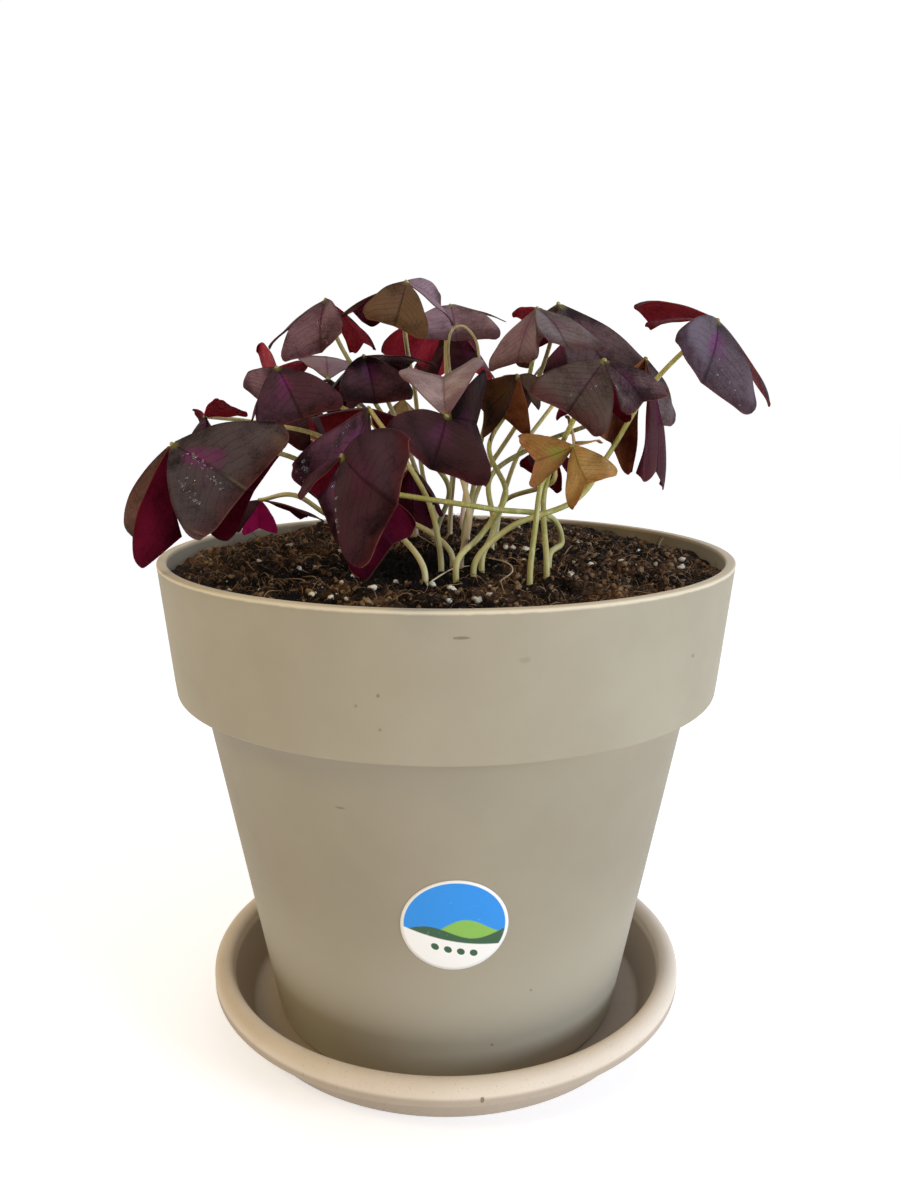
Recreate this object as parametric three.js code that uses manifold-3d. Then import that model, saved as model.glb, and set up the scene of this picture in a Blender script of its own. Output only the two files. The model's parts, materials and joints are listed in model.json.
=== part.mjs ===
// Purple shamrock growing in a tapered plastic pot that stands on a round saucer.
// Units are millimetres and +Z is up. The origin is the centre of the saucer's foot, on the
// surface that the pot stands on, and -Y is the front.
import * as THREE from "three";
import { mergeVertices } from "three/addons/utils/BufferGeometryUtils.js";
import Module from "manifold-3d";

const wasm = await Module();
wasm.setup();

// ---------------------------------------------------------------- driving dimensions

const GAP = 0.3; // running clearance between pieces that rest on or stand in each other
const ROUND_SIDES = 40; // facets around the pot, the saucer and the soil

const POT = {
  rimZ: 206, // top of the rim above the surface
  rimRadius: 120,
  wall: 4,
  collarHeight: 54.7, // the straight band below the rim
  collarRadius: 114.5, // at the band's lower edge
  bodyRadius: 104.3, // of the body, right under the band
  taper: 0.1855, // loss of radius per millimetre down the body
  footRecess: 3, // how far the floor stands above the foot ring
  footRing: 6, // width of the foot ring
  edge: 1.2, // rounding of the rim's and the band's edges
  drainRadius: 5,
  drainCount: 5,
  drainCircle: 42,
};

const SAUCER = {
  footRadius: 91.2,
  floor: 2.5,
  lipRadius: 100.8, // centre line of the rolled lip
  lipSection: 4.2, // outer radius of the roll
  lipZ: 20.3, // centre of the roll
  skirt: 5.3, // how far the roll's outside hangs below its centre
  wall: 2.1,
};

const SOIL = {
  edgeDepth: 6.5, // below the rim, at the pot's wall
  mound: 6, // rise towards the middle
  heap: 5, // how much higher it lies against the back wall
  heapStart: 0.45, // where the heap starts, as a share of the way to the back wall
  hollow: 4, // depth of the watered hollow among the front stems
  hollowPlace: [-18, -36],
  hollowRadius: 34,
  relief: 1.1, // height of the lumps
  lumpLength: 7,
  rings: 7,
};

const LABEL = { radius: 20, centreZ: 81, turn: 2, thickness: 0.5 }; // turn in degrees to +X

const PETIOLE = { radius: 1.15, sides: 6, buried: 10, upright: 6, step: 16 };
const HOLE_CLEARANCE = 0.45;

// An old stalk that has lost its flowers and bends over at its top.
const STALK = {
  radius: 0.7,
  root: [2, 46],
  via: [[4, 36, 238], [3, 12, 269], [1, 2, 292], [3, 0, 298], [7, 0, 299], [12, 0, 294]],
  tip: [14, 0, 285],
};

const BLADE = {
  thickness: 0.7,
  notch: 0.93, // depth of the outer edge at the midrib, as a share of the length
  rise: 0.18, // how far the outer edge climbs from the notch towards its corners
  shoulder: 0.05, // how far it falls back at the corners
  sideBulge: 0.6, // how far the two side edges swell outwards
  flare: 1.06, // how much wider the lobes would be if their corners weren't rounded
  cornerAcross: 0.37, // size of the rounded outer corners, as a share of the half width
  cornerAlong: 0.22, // and as a share of the length
  arch: 0.05, // rise of the midrib between hub and notch
  curl: 0.07, // sinking of the lobes
  stubWidth: 0.6, // half width at the hub
  rows: [0.03, 0.52, 0.8, 1],
  columns: [-1, -0.62, 0, 0.62, 1],
};
const HUB_RADIUS = 2.2;

// Each leaf has its hub, the place where its petiole leaves the soil, the points that the
// petiole passes on its way, and three leaflets as
// [heading, droop, roll, fold in degrees, length, half width as a share of the length].
// Heading 0 points to +X and 90 to the back, a positive droop hangs down, roll turns the
// blade about its midrib, and a positive fold bends its two halves towards the underside.
const LEAVES = [
  {
    name: "01", hub: [-102, -50, 254], root: [-8, -65],
    via: [[-18, -48, 220], [-41, -26, 236], [-63, -42, 250]],
    leaflets: [[-38, 20, 50, -17, 46, 0.58], [-87, 104, 72, -50, 40, 0.68], [47, 29, -76, -16, 45, 0.56]],
  },
  {
    name: "02", hub: [-104, 15, 262], root: [-16, 44],
    via: [[-31, 54, 229], [-57, 50, 251], [-87, 48, 258]],
    leaflets: [[-27, -18, -24, 4, 16, 0.57], [114, 18, 101, 23, 13, 0.49], [-75, 15, -10, 50, 24, 0.55]],
  },
  {
    name: "03", hub: [-66, -25, 282], root: [-4, 20],
    via: [[1, 6, 233], [-19, -11, 254], [-51, -12, 271]],
    leaflets: [[-63, 34, 20, -16, 36, 0.47], [-52, 138, 102, -28, 21, 0.59], [105, 14, 25, -54, 36, 0.53]],
  },
  {
    name: "04", hub: [-50, 8, 310], root: [-10, 55],
    via: [[-20, 38, 246], [-33, 14, 272], [-46, 10, 295]],
    leaflets: [[-88, 41, 31, -30, 36, 0.47], [135, 23, 0, 31, 31, 0.43], [29, 45, -3, 8, 26, 0.43]],
  },
  {
    name: "05", hub: [-54, 45, 278], root: [-10, 76],
    via: [[-22, 69, 236], [-39, 64, 262]],
    leaflets: [[98, -23, 6, 11, 29, 0.44], [-40, 30, 0, 25, 24, 0.5], [-150, 30, 0, 20, 24, 0.5]],
  },
  {
    name: "06", hub: [-34, 1, 287], root: [-6, 34],
    via: [[-14, 24, 240], [-24, 2, 268]],
    leaflets: [[-77, 33, 1, -24, 37, 0.42], [38, 4, -4, 7, 28, 0.49], [165, 45, 0, 20, 30, 0.5]],
  },
  {
    name: "07", hub: [-34, -97, 253], root: [41, -35],
    via: [[47, -23, 213], [43, -29, 223], [15, -57, 231], [-33, -54, 239]],
    leaflets: [[-60, 17, 76, -22, 44, 0.53], [33, 59, -104, -20, 39, 0.45], [158, 30, 0, 40, 18, 0.45]],
  },
  {
    name: "08", hub: [0, -77, 265], root: [6, -38],
    via: [[9, -44, 226], [5, -35, 244], [-1, -42, 257]],
    leaflets: [[92, -22, -8, -18, 39, 0.43], [68, 7, 84, -13, 33, 0.62], [-99, 25, -31, -24, 39, 0.51]],
  },
  {
    name: "09", hub: [-16, -5, 316], root: [-4, 62],
    via: [[-11, 61, 232], [-14, 53, 268], [-17, 0, 300]],
    leaflets: [[-100, 38, -27, -12, 32, 0.41], [42, 24, 43, -7, 22, 0.6], [149, 22, -1, 14, 31, 0.49]],
  },
  {
    name: "10", hub: [2, 57, 311], root: [2, 50],
    via: [[3, 56, 236], [1, 52, 268], [0, 48, 293]],
    leaflets: [[-86, 29, -1, -16, 38, 0.53], [78, -1, -45, 60, 37, 0.55], [156, 50, 16, -14, 33, 0.58]],
  },
  {
    name: "11", hub: [36, -15, 305], root: [4, -62],
    via: [[14, -40, 219], [23, -38, 233], [18, -8, 252], [34, 3, 277]],
    leaflets: [[-131, 60, 16, -14, 26, 0.59], [-68, 32, -10, -17, 32, 0.48], [98, 17, 8, -25, 17, 0.44]],
  },
  {
    name: "12", hub: [49, 30, 310], root: [10, 28],
    via: [[16, 34, 232], [34, 32, 262], [45, 31, 290]],
    leaflets: [[-43, 49, 11, -7, 48, 0.54], [80, 20, 0, 20, 38, 0.5], [-160, 40, 0, 20, 34, 0.5]],
  },
  {
    name: "13", hub: [82, -2, 286], root: [14, -44],
    via: [[19, -30, 220], [18, -14, 238], [38, 6, 250], [74, 22, 264]],
    leaflets: [[-139, 59, 72, 8, 42, 0.52], [-66, 77, -46, 0, 50, 0.6], [18, 80, 47, -17, 29, 0.59]],
  },
  {
    name: "14", hub: [55, -70, 284], root: [38, -54],
    via: [[38, -39, 235], [46, -66, 265]],
    leaflets: [[-125, 33, -39, -14, 34, 0.43], [-31, 43, 21, -8, 22, 0.58], [89, 27, 3, 29, 31, 0.51]],
  },
  {
    name: "15", hub: [28, -22, 279], root: [8, 16],
    via: [[12, 17, 231], [15, 16, 250], [22, -8, 277]],
    leaflets: [[-128, 31, -94, 2, 28, 0.38], [65, 2, 10, 78, 26, 0.46], [105, 40, -10, 46, 27, 0.47]],
  },
  {
    name: "16", hub: [46, -62, 254], root: [31, -64], young: true,
    via: [[33, -59, 224], [36, -57, 242]],
    leaflets: [[-148, 15, -86, 23, 19, 0.54], [-79, 36, 52, 12, 22, 0.5], [83, 0, 36, -40, 22, 0.51]],
  },
  {
    name: "17", hub: [42, -22, 250], root: [20, 4],
    via: [[24, 1, 226], [43, -27, 239]],
    leaflets: [[105, 43, 48, -7, 19, 0.54], [-155, 10, 0, 30, 12, 0.5], [-15, 30, 0, 30, 16, 0.5]],
  },
  {
    name: "18", hub: [105, -25, 300], root: [11, -54],
    via: [[24, -52, 223], [49, -48, 233], [64, -29, 249], [80, -34, 277]],
    leaflets: [[158, 0, 15, -13, 29, 0.52], [-113, 37, -53, -23, 42, 0.54], [55, 28, 44, 3, 40, 0.55]],
  },
  {
    name: "19", hub: [-80, 5, 227], root: [2, -28],
    via: [[-17, -16, 221], [-45, -17, 222], [-59, -26, 232]],
    leaflets: [[105, 62, -1, 13, 16, 0.47], [25, 19, -4, 4, 25, 0.6], [-130, 10, 0, 30, 22, 0.5]],
  },
  {
    name: "20", hub: [-15, 8, 241], root: [-20, 28],
    via: [[-22, 32, 235]],
    leaflets: [[-85, 75, 0, 30, 25, 0.5], [150, 50, 0, 30, 22, 0.5], [30, 50, 0, 30, 22, 0.5]],
  },
  {
    name: "21", hub: [65, 85, 301], root: [24, 46],
    via: [[33, 52, 241], [60, 86, 277]],
    leaflets: [[90, 40, 0, 25, 34, 0.58], [-30, 40, 0, 25, 32, 0.58], [210, 40, 0, 25, 32, 0.58]],
  },
  {
    name: "22", hub: [3, 98, 304], root: [8, 70],
    via: [[11, 83, 240], [6, 96, 280]],
    leaflets: [[80, 35, 0, 25, 34, 0.58], [-40, 45, 0, 25, 30, 0.58], [200, 45, 0, 25, 30, 0.58]],
  },
  {
    name: "23", hub: [-71, 75, 270], root: [-22, 64],
    via: [[-36, 72, 236], [-70, 76, 253]],
    leaflets: [[120, 35, 0, 25, 32, 0.58], [0, 45, 0, 25, 28, 0.58], [240, 45, 0, 25, 28, 0.58]],
  },
  {
    name: "24", hub: [-29, -44, 267], root: [-2, -40],
    via: [[-6, -44, 230], [-16, -55, 250]],
    leaflets: [[-127, 48, -102, -9, 46, 0.57], [147, 10, 17, 23, 26, 0.38], [55, 19, 6, 9, 28, 0.5]],
  },
  {
    name: "25", hub: [-19, 30, 269], root: [-14, 36], young: true,
    via: [[-18, 34, 240]],
    leaflets: [[-75, 30, -10, 30, 12, 0.55], [60, 40, 0, 30, 10, 0.5], [170, 40, 0, 30, 10, 0.5]],
  },
];

// ---------------------------------------------------------------- finishes

const finish = (color, roughness) => ({ color, roughness, metalness: 0 });
const FINISHES = {
  pot: finish(0xb8ae98, 0.62),
  saucer: finish(0xc4baa6, 0.6),
  soil: finish(0x2c2119, 0.95),
  label: finish(0x3a8cc8, 0.35),
  purple: finish(0x4a3440, 0.5),
  young: finish(0xa87850, 0.5),
  petiole: finish(0x9ca050, 0.45),
};

// ---------------------------------------------------------------- helpers

const radians = THREE.MathUtils.degToRad;
const vector = (point) => new THREE.Vector3(...point);

// A geometry as a solid that can be joined to others or cut by them.
function solidOf(geometry) {
  const bare = geometry.clone();
  bare.deleteAttribute("normal");
  bare.deleteAttribute("uv");
  const merged = mergeVertices(bare, 1e-4);
  return new wasm.Manifold(
    new wasm.Mesh({
      numProp: 3,
      vertProperties: new Float32Array(merged.attributes.position.array),
      triVerts: new Uint32Array(merged.index.array),
    }),
  );
}

function geometryOf(solid) {
  const mesh = solid.getMesh();
  const geometry = new THREE.BufferGeometry();
  geometry.setAttribute("position", new THREE.BufferAttribute(mesh.vertProperties, 3));
  geometry.setIndex(new THREE.BufferAttribute(mesh.triVerts, 1));
  geometry.computeVertexNormals();
  return geometry;
}

function named(name, geometry, look) {
  const mesh = new THREE.Mesh(geometry, new THREE.MeshStandardMaterial(FINISHES[look]));
  mesh.name = name;
  return mesh;
}

// Turns a profile of [radius, height] points, listed from the bottom of the axis outwards
// and up and back to the axis, into a round body about +Z.
function turned(profile) {
  const points = profile.map(([radius, height]) => new THREE.Vector2(radius, height));
  return new THREE.LatheGeometry(points, ROUND_SIDES).rotateX(Math.PI / 2);
}

// Points of an arc in a profile, between two angles in degrees.
function arc(radius, height, size, from, to, steps) {
  return Array.from({ length: steps + 1 }, (_, i) => {
    const angle = radians(from + ((to - from) * i) / steps);
    return [radius + size * Math.cos(angle), height + size * Math.sin(angle)];
  });
}

// A round upright cutter between two heights.
function drill(x, y, radius, bottom, top, sides) {
  const cutter = new THREE.CylinderGeometry(radius, radius, top - bottom, sides);
  return solidOf(cutter.rotateX(Math.PI / 2).translate(x, y, (top + bottom) / 2));
}

// ---------------------------------------------------------------- pot and saucer

const POT_FOOT_Z = SAUCER.floor + GAP;
const BAND_Z = POT.rimZ - POT.collarHeight;
const bodyRadiusAt = (z) => POT.bodyRadius - POT.taper * (BAND_Z - z);
const FLOOR_Z = POT_FOOT_Z + POT.footRecess + POT.wall;
const COLLAR_TAPER = (POT.rimRadius - POT.collarRadius) / POT.collarHeight;
const collarRadiusAt = (z) => POT.rimRadius - COLLAR_TAPER * (POT.rimZ - z);

// The inside of the pot, which the soil fills: radius and height of each corner, upwards.
const INSIDE = [
  [bodyRadiusAt(FLOOR_Z) - POT.wall, FLOOR_Z],
  [bodyRadiusAt(BAND_Z) - POT.wall, BAND_Z - POT.wall],
  [collarRadiusAt(BAND_Z) - POT.wall, BAND_Z + POT.wall],
];

function potGeometry() {
  const footRadius = bodyRadiusAt(POT_FOOT_Z);
  const outside = [
    [0, POT_FOOT_Z + POT.footRecess],
    [footRadius - POT.footRing, POT_FOOT_Z + POT.footRecess],
    [footRadius - POT.footRing, POT_FOOT_Z],
    [footRadius - POT.edge, POT_FOOT_Z],
    [bodyRadiusAt(POT_FOOT_Z + POT.edge), POT_FOOT_Z + POT.edge],
    [bodyRadiusAt(BAND_Z), BAND_Z],
    ...arc(POT.collarRadius - POT.edge, BAND_Z + POT.edge, POT.edge, -90, 0, 2),
    ...arc(POT.rimRadius - POT.edge, POT.rimZ - POT.edge, POT.edge, 0, 90, 2),
  ];
  const inside = [[POT.rimRadius - POT.wall, POT.rimZ], ...[...INSIDE].reverse(), [0, FLOOR_Z]];
  let pot = solidOf(turned([...outside, ...inside]));
  for (let i = 0; i < POT.drainCount; i++) {
    const angle = (2 * Math.PI * i) / POT.drainCount;
    const x = POT.drainCircle * Math.cos(angle);
    const y = POT.drainCircle * Math.sin(angle);
    pot = pot.subtract(drill(x, y, POT.drainRadius, 0, FLOOR_Z + 1, 10));
  }
  return geometryOf(pot);
}

function saucerGeometry() {
  const { footRadius, floor, lipRadius, lipSection, lipZ, skirt, wall } = SAUCER;
  const innerLip = lipRadius - lipSection;
  return turned([
    [0, 0],
    [footRadius, 0],
    [innerLip + wall, lipZ],
    ...arc(lipRadius, lipZ, lipSection - wall, 180, 0, 4).slice(1),
    [lipRadius + lipSection - wall, lipZ - skirt],
    [lipRadius + lipSection, lipZ - skirt],
    ...arc(lipRadius, lipZ, lipSection, 0, 180, 6),
    [footRadius - wall, floor],
    [0, floor],
  ]);
}

// A round label that follows the front of the body, with the same facets as the pot.
function labelGeometry() {
  const low = LABEL.centreZ - LABEL.radius - 1;
  const high = LABEL.centreZ + LABEL.radius + 1;
  const skin = (extra) => [
    [bodyRadiusAt(low) + GAP + extra, low],
    [bodyRadiusAt(high) + GAP + extra, high],
  ];
  const inner = skin(0);
  const outer = skin(LABEL.thickness);
  const shell = solidOf(turned([inner[0], outer[0], outer[1], inner[1], inner[0]]));
  const reach = POT.rimRadius;
  const punch = new THREE.CylinderGeometry(LABEL.radius, LABEL.radius, reach, 24);
  punch.translate(0, -reach / 2, 0).rotateZ(radians(LABEL.turn));
  punch.translate(0, 0, LABEL.centreZ);
  return geometryOf(shell.intersect(solidOf(punch)));
}

// ---------------------------------------------------------------- soil

function soilHeight(x, y) {
  const span = POT.rimRadius - POT.wall;
  const radius = Math.hypot(x, y) / span;
  const level = POT.rimZ - SOIL.edgeDepth + SOIL.mound * (1 - radius * radius);
  const back = SOIL.heap * THREE.MathUtils.smoothstep(y / span, SOIL.heapStart, 1);
  const away = Math.hypot(x - SOIL.hollowPlace[0], y - SOIL.hollowPlace[1]);
  const dip = SOIL.hollow * (1 - THREE.MathUtils.smoothstep(away / SOIL.hollowRadius, 0, 1));
  const across = Math.sin(x / SOIL.lumpLength + 1.3) * Math.cos(y / (SOIL.lumpLength + 2));
  const along = Math.sin((x + 2 * y) / (SOIL.lumpLength - 2));
  return level + back - dip + SOIL.relief * (across + 0.6 * along);
}

function soilGeometry() {
  const edgeZ = POT.rimZ - SOIL.edgeDepth;
  const edgeRadius = collarRadiusAt(edgeZ) - POT.wall - GAP;
  const rings = Array.from({ length: SOIL.rings }, (_, i) => [
    edgeRadius * (1 - i / SOIL.rings),
    edgeZ,
  ]);
  const sides = INSIDE.map(([radius, z], i) => [radius - GAP, i === 0 ? z + GAP : z]);
  const geometry = turned([[0, FLOOR_Z + GAP], ...sides, ...rings, [0, edgeZ]]);
  const position = geometry.attributes.position;
  for (let i = 0; i < position.count; i++) {
    if (position.getZ(i) > edgeZ - 0.01) {
      position.setZ(i, soilHeight(position.getX(i), position.getY(i)));
    }
  }
  let soil = solidOf(geometry);
  const stems = LEAVES.map(({ root }) => ({ root, radius: PETIOLE.radius }));
  for (const { root, radius } of [...stems, STALK]) {
    const bottom = soilHeight(...root) - PETIOLE.buried - 1;
    const size = radius + HOLE_CLEARANCE;
    soil = soil.subtract(drill(...root, size, bottom, POT.rimZ + SOIL.mound + SOIL.heap, 8));
  }
  return geometryOf(soil);
}

// ---------------------------------------------------------------- leaves

// The first points of a stem: straight up out of its hole in the soil.
function rooted([x, y]) {
  const surface = soilHeight(x, y);
  return [-PETIOLE.buried, -PETIOLE.buried / 2, PETIOLE.upright].map((rise) => [x, y, surface + rise]);
}

function stemGeometry(points, radius) {
  const curve = new THREE.CatmullRomCurve3(points.map(vector));
  const section = new THREE.Shape().absarc(0, 0, radius, 0, 2 * Math.PI);
  return new THREE.ExtrudeGeometry(section, {
    extrudePath: curve,
    steps: Math.max(6, Math.ceil(curve.getLength() / PETIOLE.step)),
    curveSegments: PETIOLE.sides / 2,
    bevelEnabled: false,
  });
}

// A leaf's petiole ends just below the hub.
function petioleGeometry({ hub, root, via }) {
  const route = [...rooted(root), ...via];
  const end = vector(hub);
  const approach = end.clone().sub(vector(route.at(-1))).normalize();
  end.addScaledVector(approach, -(HUB_RADIUS + GAP));
  return stemGeometry([...route, end.toArray()], PETIOLE.radius);
}

// The midrib's direction, and the directions of a leaflet's two halves away from it.
function leafletFrame(heading, droop, roll, fold) {
  const [h, d, r, f] = [heading, droop, roll, fold].map(radians);
  const midrib = vector([Math.cos(h) * Math.cos(d), Math.sin(h) * Math.cos(d), -Math.sin(d)]);
  const level = vector([-Math.sin(h), Math.cos(h), 0]);
  const side = level.clone().applyAxisAngle(midrib, r);
  const up = midrib.clone().cross(side);
  const half = (sign) =>
    side.clone().multiplyScalar(sign * Math.cos(f)).addScaledVector(up, -Math.sin(f));
  return { midrib, up, halves: { left: half(1), right: half(-1) } };
}

// Pulls a place on a leaflet, across and along as shares, inwards near the outer corners.
function roundedPlace(across, along) {
  const { cornerAcross, cornerAlong } = BLADE;
  const a = Math.max(0, (across - 1) / cornerAcross + 1);
  const b = Math.max(0, (along - 1) / cornerAlong + 1);
  return [
    across - cornerAcross * a * (1 - Math.sqrt(1 - 0.45 * b * b)),
    along - cornerAlong * b * (1 - Math.sqrt(1 - 0.45 * a * a)),
  ];
}

// One leaflet: a folded, notched blade between two alike nets of quads.
function leafletGeometry(hub, [heading, droop, roll, fold, length, width]) {
  const { midrib, up, halves } = leafletFrame(heading, droop, roll, fold);
  const facing = {
    left: midrib.clone().cross(halves.left),
    right: halves.right.clone().cross(midrib),
  };
  const { rows, columns } = BLADE;
  const place = (level, column, face) => {
    const half = column < 0 ? "right" : "left";
    const share = Math.abs(column);
    const [swing, row] = roundedPlace(Math.sin((Math.PI / 2) * share), level);
    const edge = BLADE.notch + BLADE.rise * swing - BLADE.shoulder * share ** 4;
    const along = length * row * edge;
    const spread = BLADE.flare * width * row * (1 + BLADE.sideBulge * (1 - row));
    const aside = (BLADE.stubWidth + length * spread) * swing;
    const lift = length * (BLADE.arch * Math.sin(Math.PI * row) - BLADE.curl * (share * row) ** 2);
    const outward = column === 0 ? up : facing[half];
    return vector(hub)
      .addScaledVector(midrib, along)
      .addScaledVector(halves[half], aside)
      .addScaledVector(up, lift)
      .addScaledVector(outward, (face * BLADE.thickness) / 2);
  };
  const positions = [];
  for (const face of [1, -1]) {
    for (const row of rows) {
      for (const column of columns) positions.push(...place(row, column, face).toArray());
    }
  }
  const wide = columns.length;
  const layer = rows.length * wide;
  const at = (row, column, face) => row * wide + column + (face > 0 ? 0 : layer);
  const triangles = [];
  for (let row = 0; row + 1 < rows.length; row++) {
    for (let column = 0; column + 1 < wide; column++) {
      for (const face of [1, -1]) {
        const [a, b] = [at(row, column, face), at(row, column + 1, face)];
        const [c, d] = [at(row + 1, column + 1, face), at(row + 1, column, face)];
        const quad = column < (wide - 1) / 2 ? [a, d, c, a, c, b] : [a, d, b, b, d, c];
        triangles.push(...(face > 0 ? quad : quad.reverse()));
      }
    }
  }
  const rim = [
    ...columns.map((_, i) => [0, i]),
    ...rows.slice(1).map((_, i) => [i + 1, wide - 1]),
    ...columns.slice(1).map((_, i) => [rows.length - 1, wide - 2 - i]),
    ...rows.slice(1, -1).map((_, i) => [rows.length - 2 - i, 0]),
  ];
  rim.forEach(([row, column], i) => {
    const [nextRow, nextColumn] = rim[(i + 1) % rim.length];
    const [a, b] = [at(row, column, 1), at(nextRow, nextColumn, 1)];
    const [c, d] = [at(nextRow, nextColumn, -1), at(row, column, -1)];
    triangles.push(a, b, d, b, c, d);
  });
  const geometry = new THREE.BufferGeometry();
  geometry.setAttribute("position", new THREE.Float32BufferAttribute(positions, 3));
  geometry.setIndex(triangles);
  return geometry;
}

function leafGeometry({ hub, leaflets }) {
  let leaf = solidOf(new THREE.IcosahedronGeometry(HUB_RADIUS, 0).translate(...hub));
  for (const leaflet of leaflets) leaf = leaf.add(solidOf(leafletGeometry(hub, leaflet)));
  return geometryOf(leaf);
}

// ---------------------------------------------------------------- the whole object

const shamrock = new THREE.Group();
shamrock.add(named("saucer", saucerGeometry(), "saucer"));
shamrock.add(named("pot", potGeometry(), "pot"));
shamrock.add(named("label", labelGeometry(), "label"));
shamrock.add(named("soil", soilGeometry(), "soil"));
for (const leaf of LEAVES) {
  const look = leaf.young ? "young" : "purple";
  shamrock.add(named(`leaf_${leaf.name}`, leafGeometry(leaf), look));
  shamrock.add(named(`petiole_${leaf.name}`, petioleGeometry(leaf), "petiole"));
}
const stalkRoute = [...rooted(STALK.root), ...STALK.via, STALK.tip];
shamrock.add(named("stalk_bent", stemGeometry(stalkRoute, STALK.radius), "petiole"));

export default shamrock;
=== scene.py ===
"""Looks of a purple shamrock in a tapered pot on a saucer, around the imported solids.

Lengths are metres, +Z is up and -Y is the front. The table of leaves is in millimetres and
degrees, as growers and drawings give them, and says the same as the table of the solids.
"""

import json
import logging
import math
from abc import ABC, abstractmethod
from collections.abc import Iterator
from contextlib import contextmanager
from dataclasses import dataclass, field
from enum import Enum

import bpy
import numpy as np
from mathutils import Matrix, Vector, noise

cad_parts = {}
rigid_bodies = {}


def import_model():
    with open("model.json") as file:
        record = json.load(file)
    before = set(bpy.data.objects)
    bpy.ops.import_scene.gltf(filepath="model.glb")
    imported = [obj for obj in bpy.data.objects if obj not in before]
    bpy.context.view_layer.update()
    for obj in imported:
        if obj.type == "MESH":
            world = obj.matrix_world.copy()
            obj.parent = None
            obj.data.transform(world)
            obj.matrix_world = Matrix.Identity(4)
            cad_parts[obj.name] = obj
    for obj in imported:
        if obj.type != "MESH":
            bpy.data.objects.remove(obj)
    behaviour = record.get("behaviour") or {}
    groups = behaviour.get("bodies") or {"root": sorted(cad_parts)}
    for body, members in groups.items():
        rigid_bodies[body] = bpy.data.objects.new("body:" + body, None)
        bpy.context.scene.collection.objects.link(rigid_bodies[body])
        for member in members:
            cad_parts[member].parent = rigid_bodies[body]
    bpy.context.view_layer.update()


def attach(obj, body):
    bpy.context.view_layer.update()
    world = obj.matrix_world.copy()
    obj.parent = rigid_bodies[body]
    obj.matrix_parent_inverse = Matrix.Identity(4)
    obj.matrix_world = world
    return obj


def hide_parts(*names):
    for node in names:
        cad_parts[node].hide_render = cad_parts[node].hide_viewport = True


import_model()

MM = 0.001
BODY = "root"
log = logging.getLogger("shamrock")

Colour = tuple[float, float, float]
Point = tuple[float, float, float]
Spot = tuple[float, float]
Faces = list[tuple[int, ...]]
Array = np.ndarray
Skin = tuple[Array, Faces]
Piece = bpy.types.Object
Material = bpy.types.Material


# ---- shader and node expressions


class Value:
    """A node socket that takes part in Python expressions, where each operator is a Math node."""

    def __init__(self, graph: "Graph", socket: bpy.types.NodeSocket) -> None:
        """Keeps the socket and the graph that new nodes go into."""
        self.graph = graph
        self.socket = socket

    def __add__(self, other: "Number") -> "Value":
        """Sum."""
        return self.graph.math("ADD", self, other)

    def __radd__(self, other: float) -> "Value":
        """Sum with a number on the left."""
        return self.graph.math("ADD", other, self)

    def __sub__(self, other: "Number") -> "Value":
        """Difference."""
        return self.graph.math("SUBTRACT", self, other)

    def __rsub__(self, other: float) -> "Value":
        """Difference from a number."""
        return self.graph.math("SUBTRACT", other, self)

    def __mul__(self, other: "Number") -> "Value":
        """Product."""
        return self.graph.math("MULTIPLY", self, other)

    def __rmul__(self, other: float) -> "Value":
        """Product with a number on the left."""
        return self.graph.math("MULTIPLY", other, self)

    def __truediv__(self, other: "Number") -> "Value":
        """Quotient."""
        return self.graph.math("DIVIDE", self, other)


Number = Value | float


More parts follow.
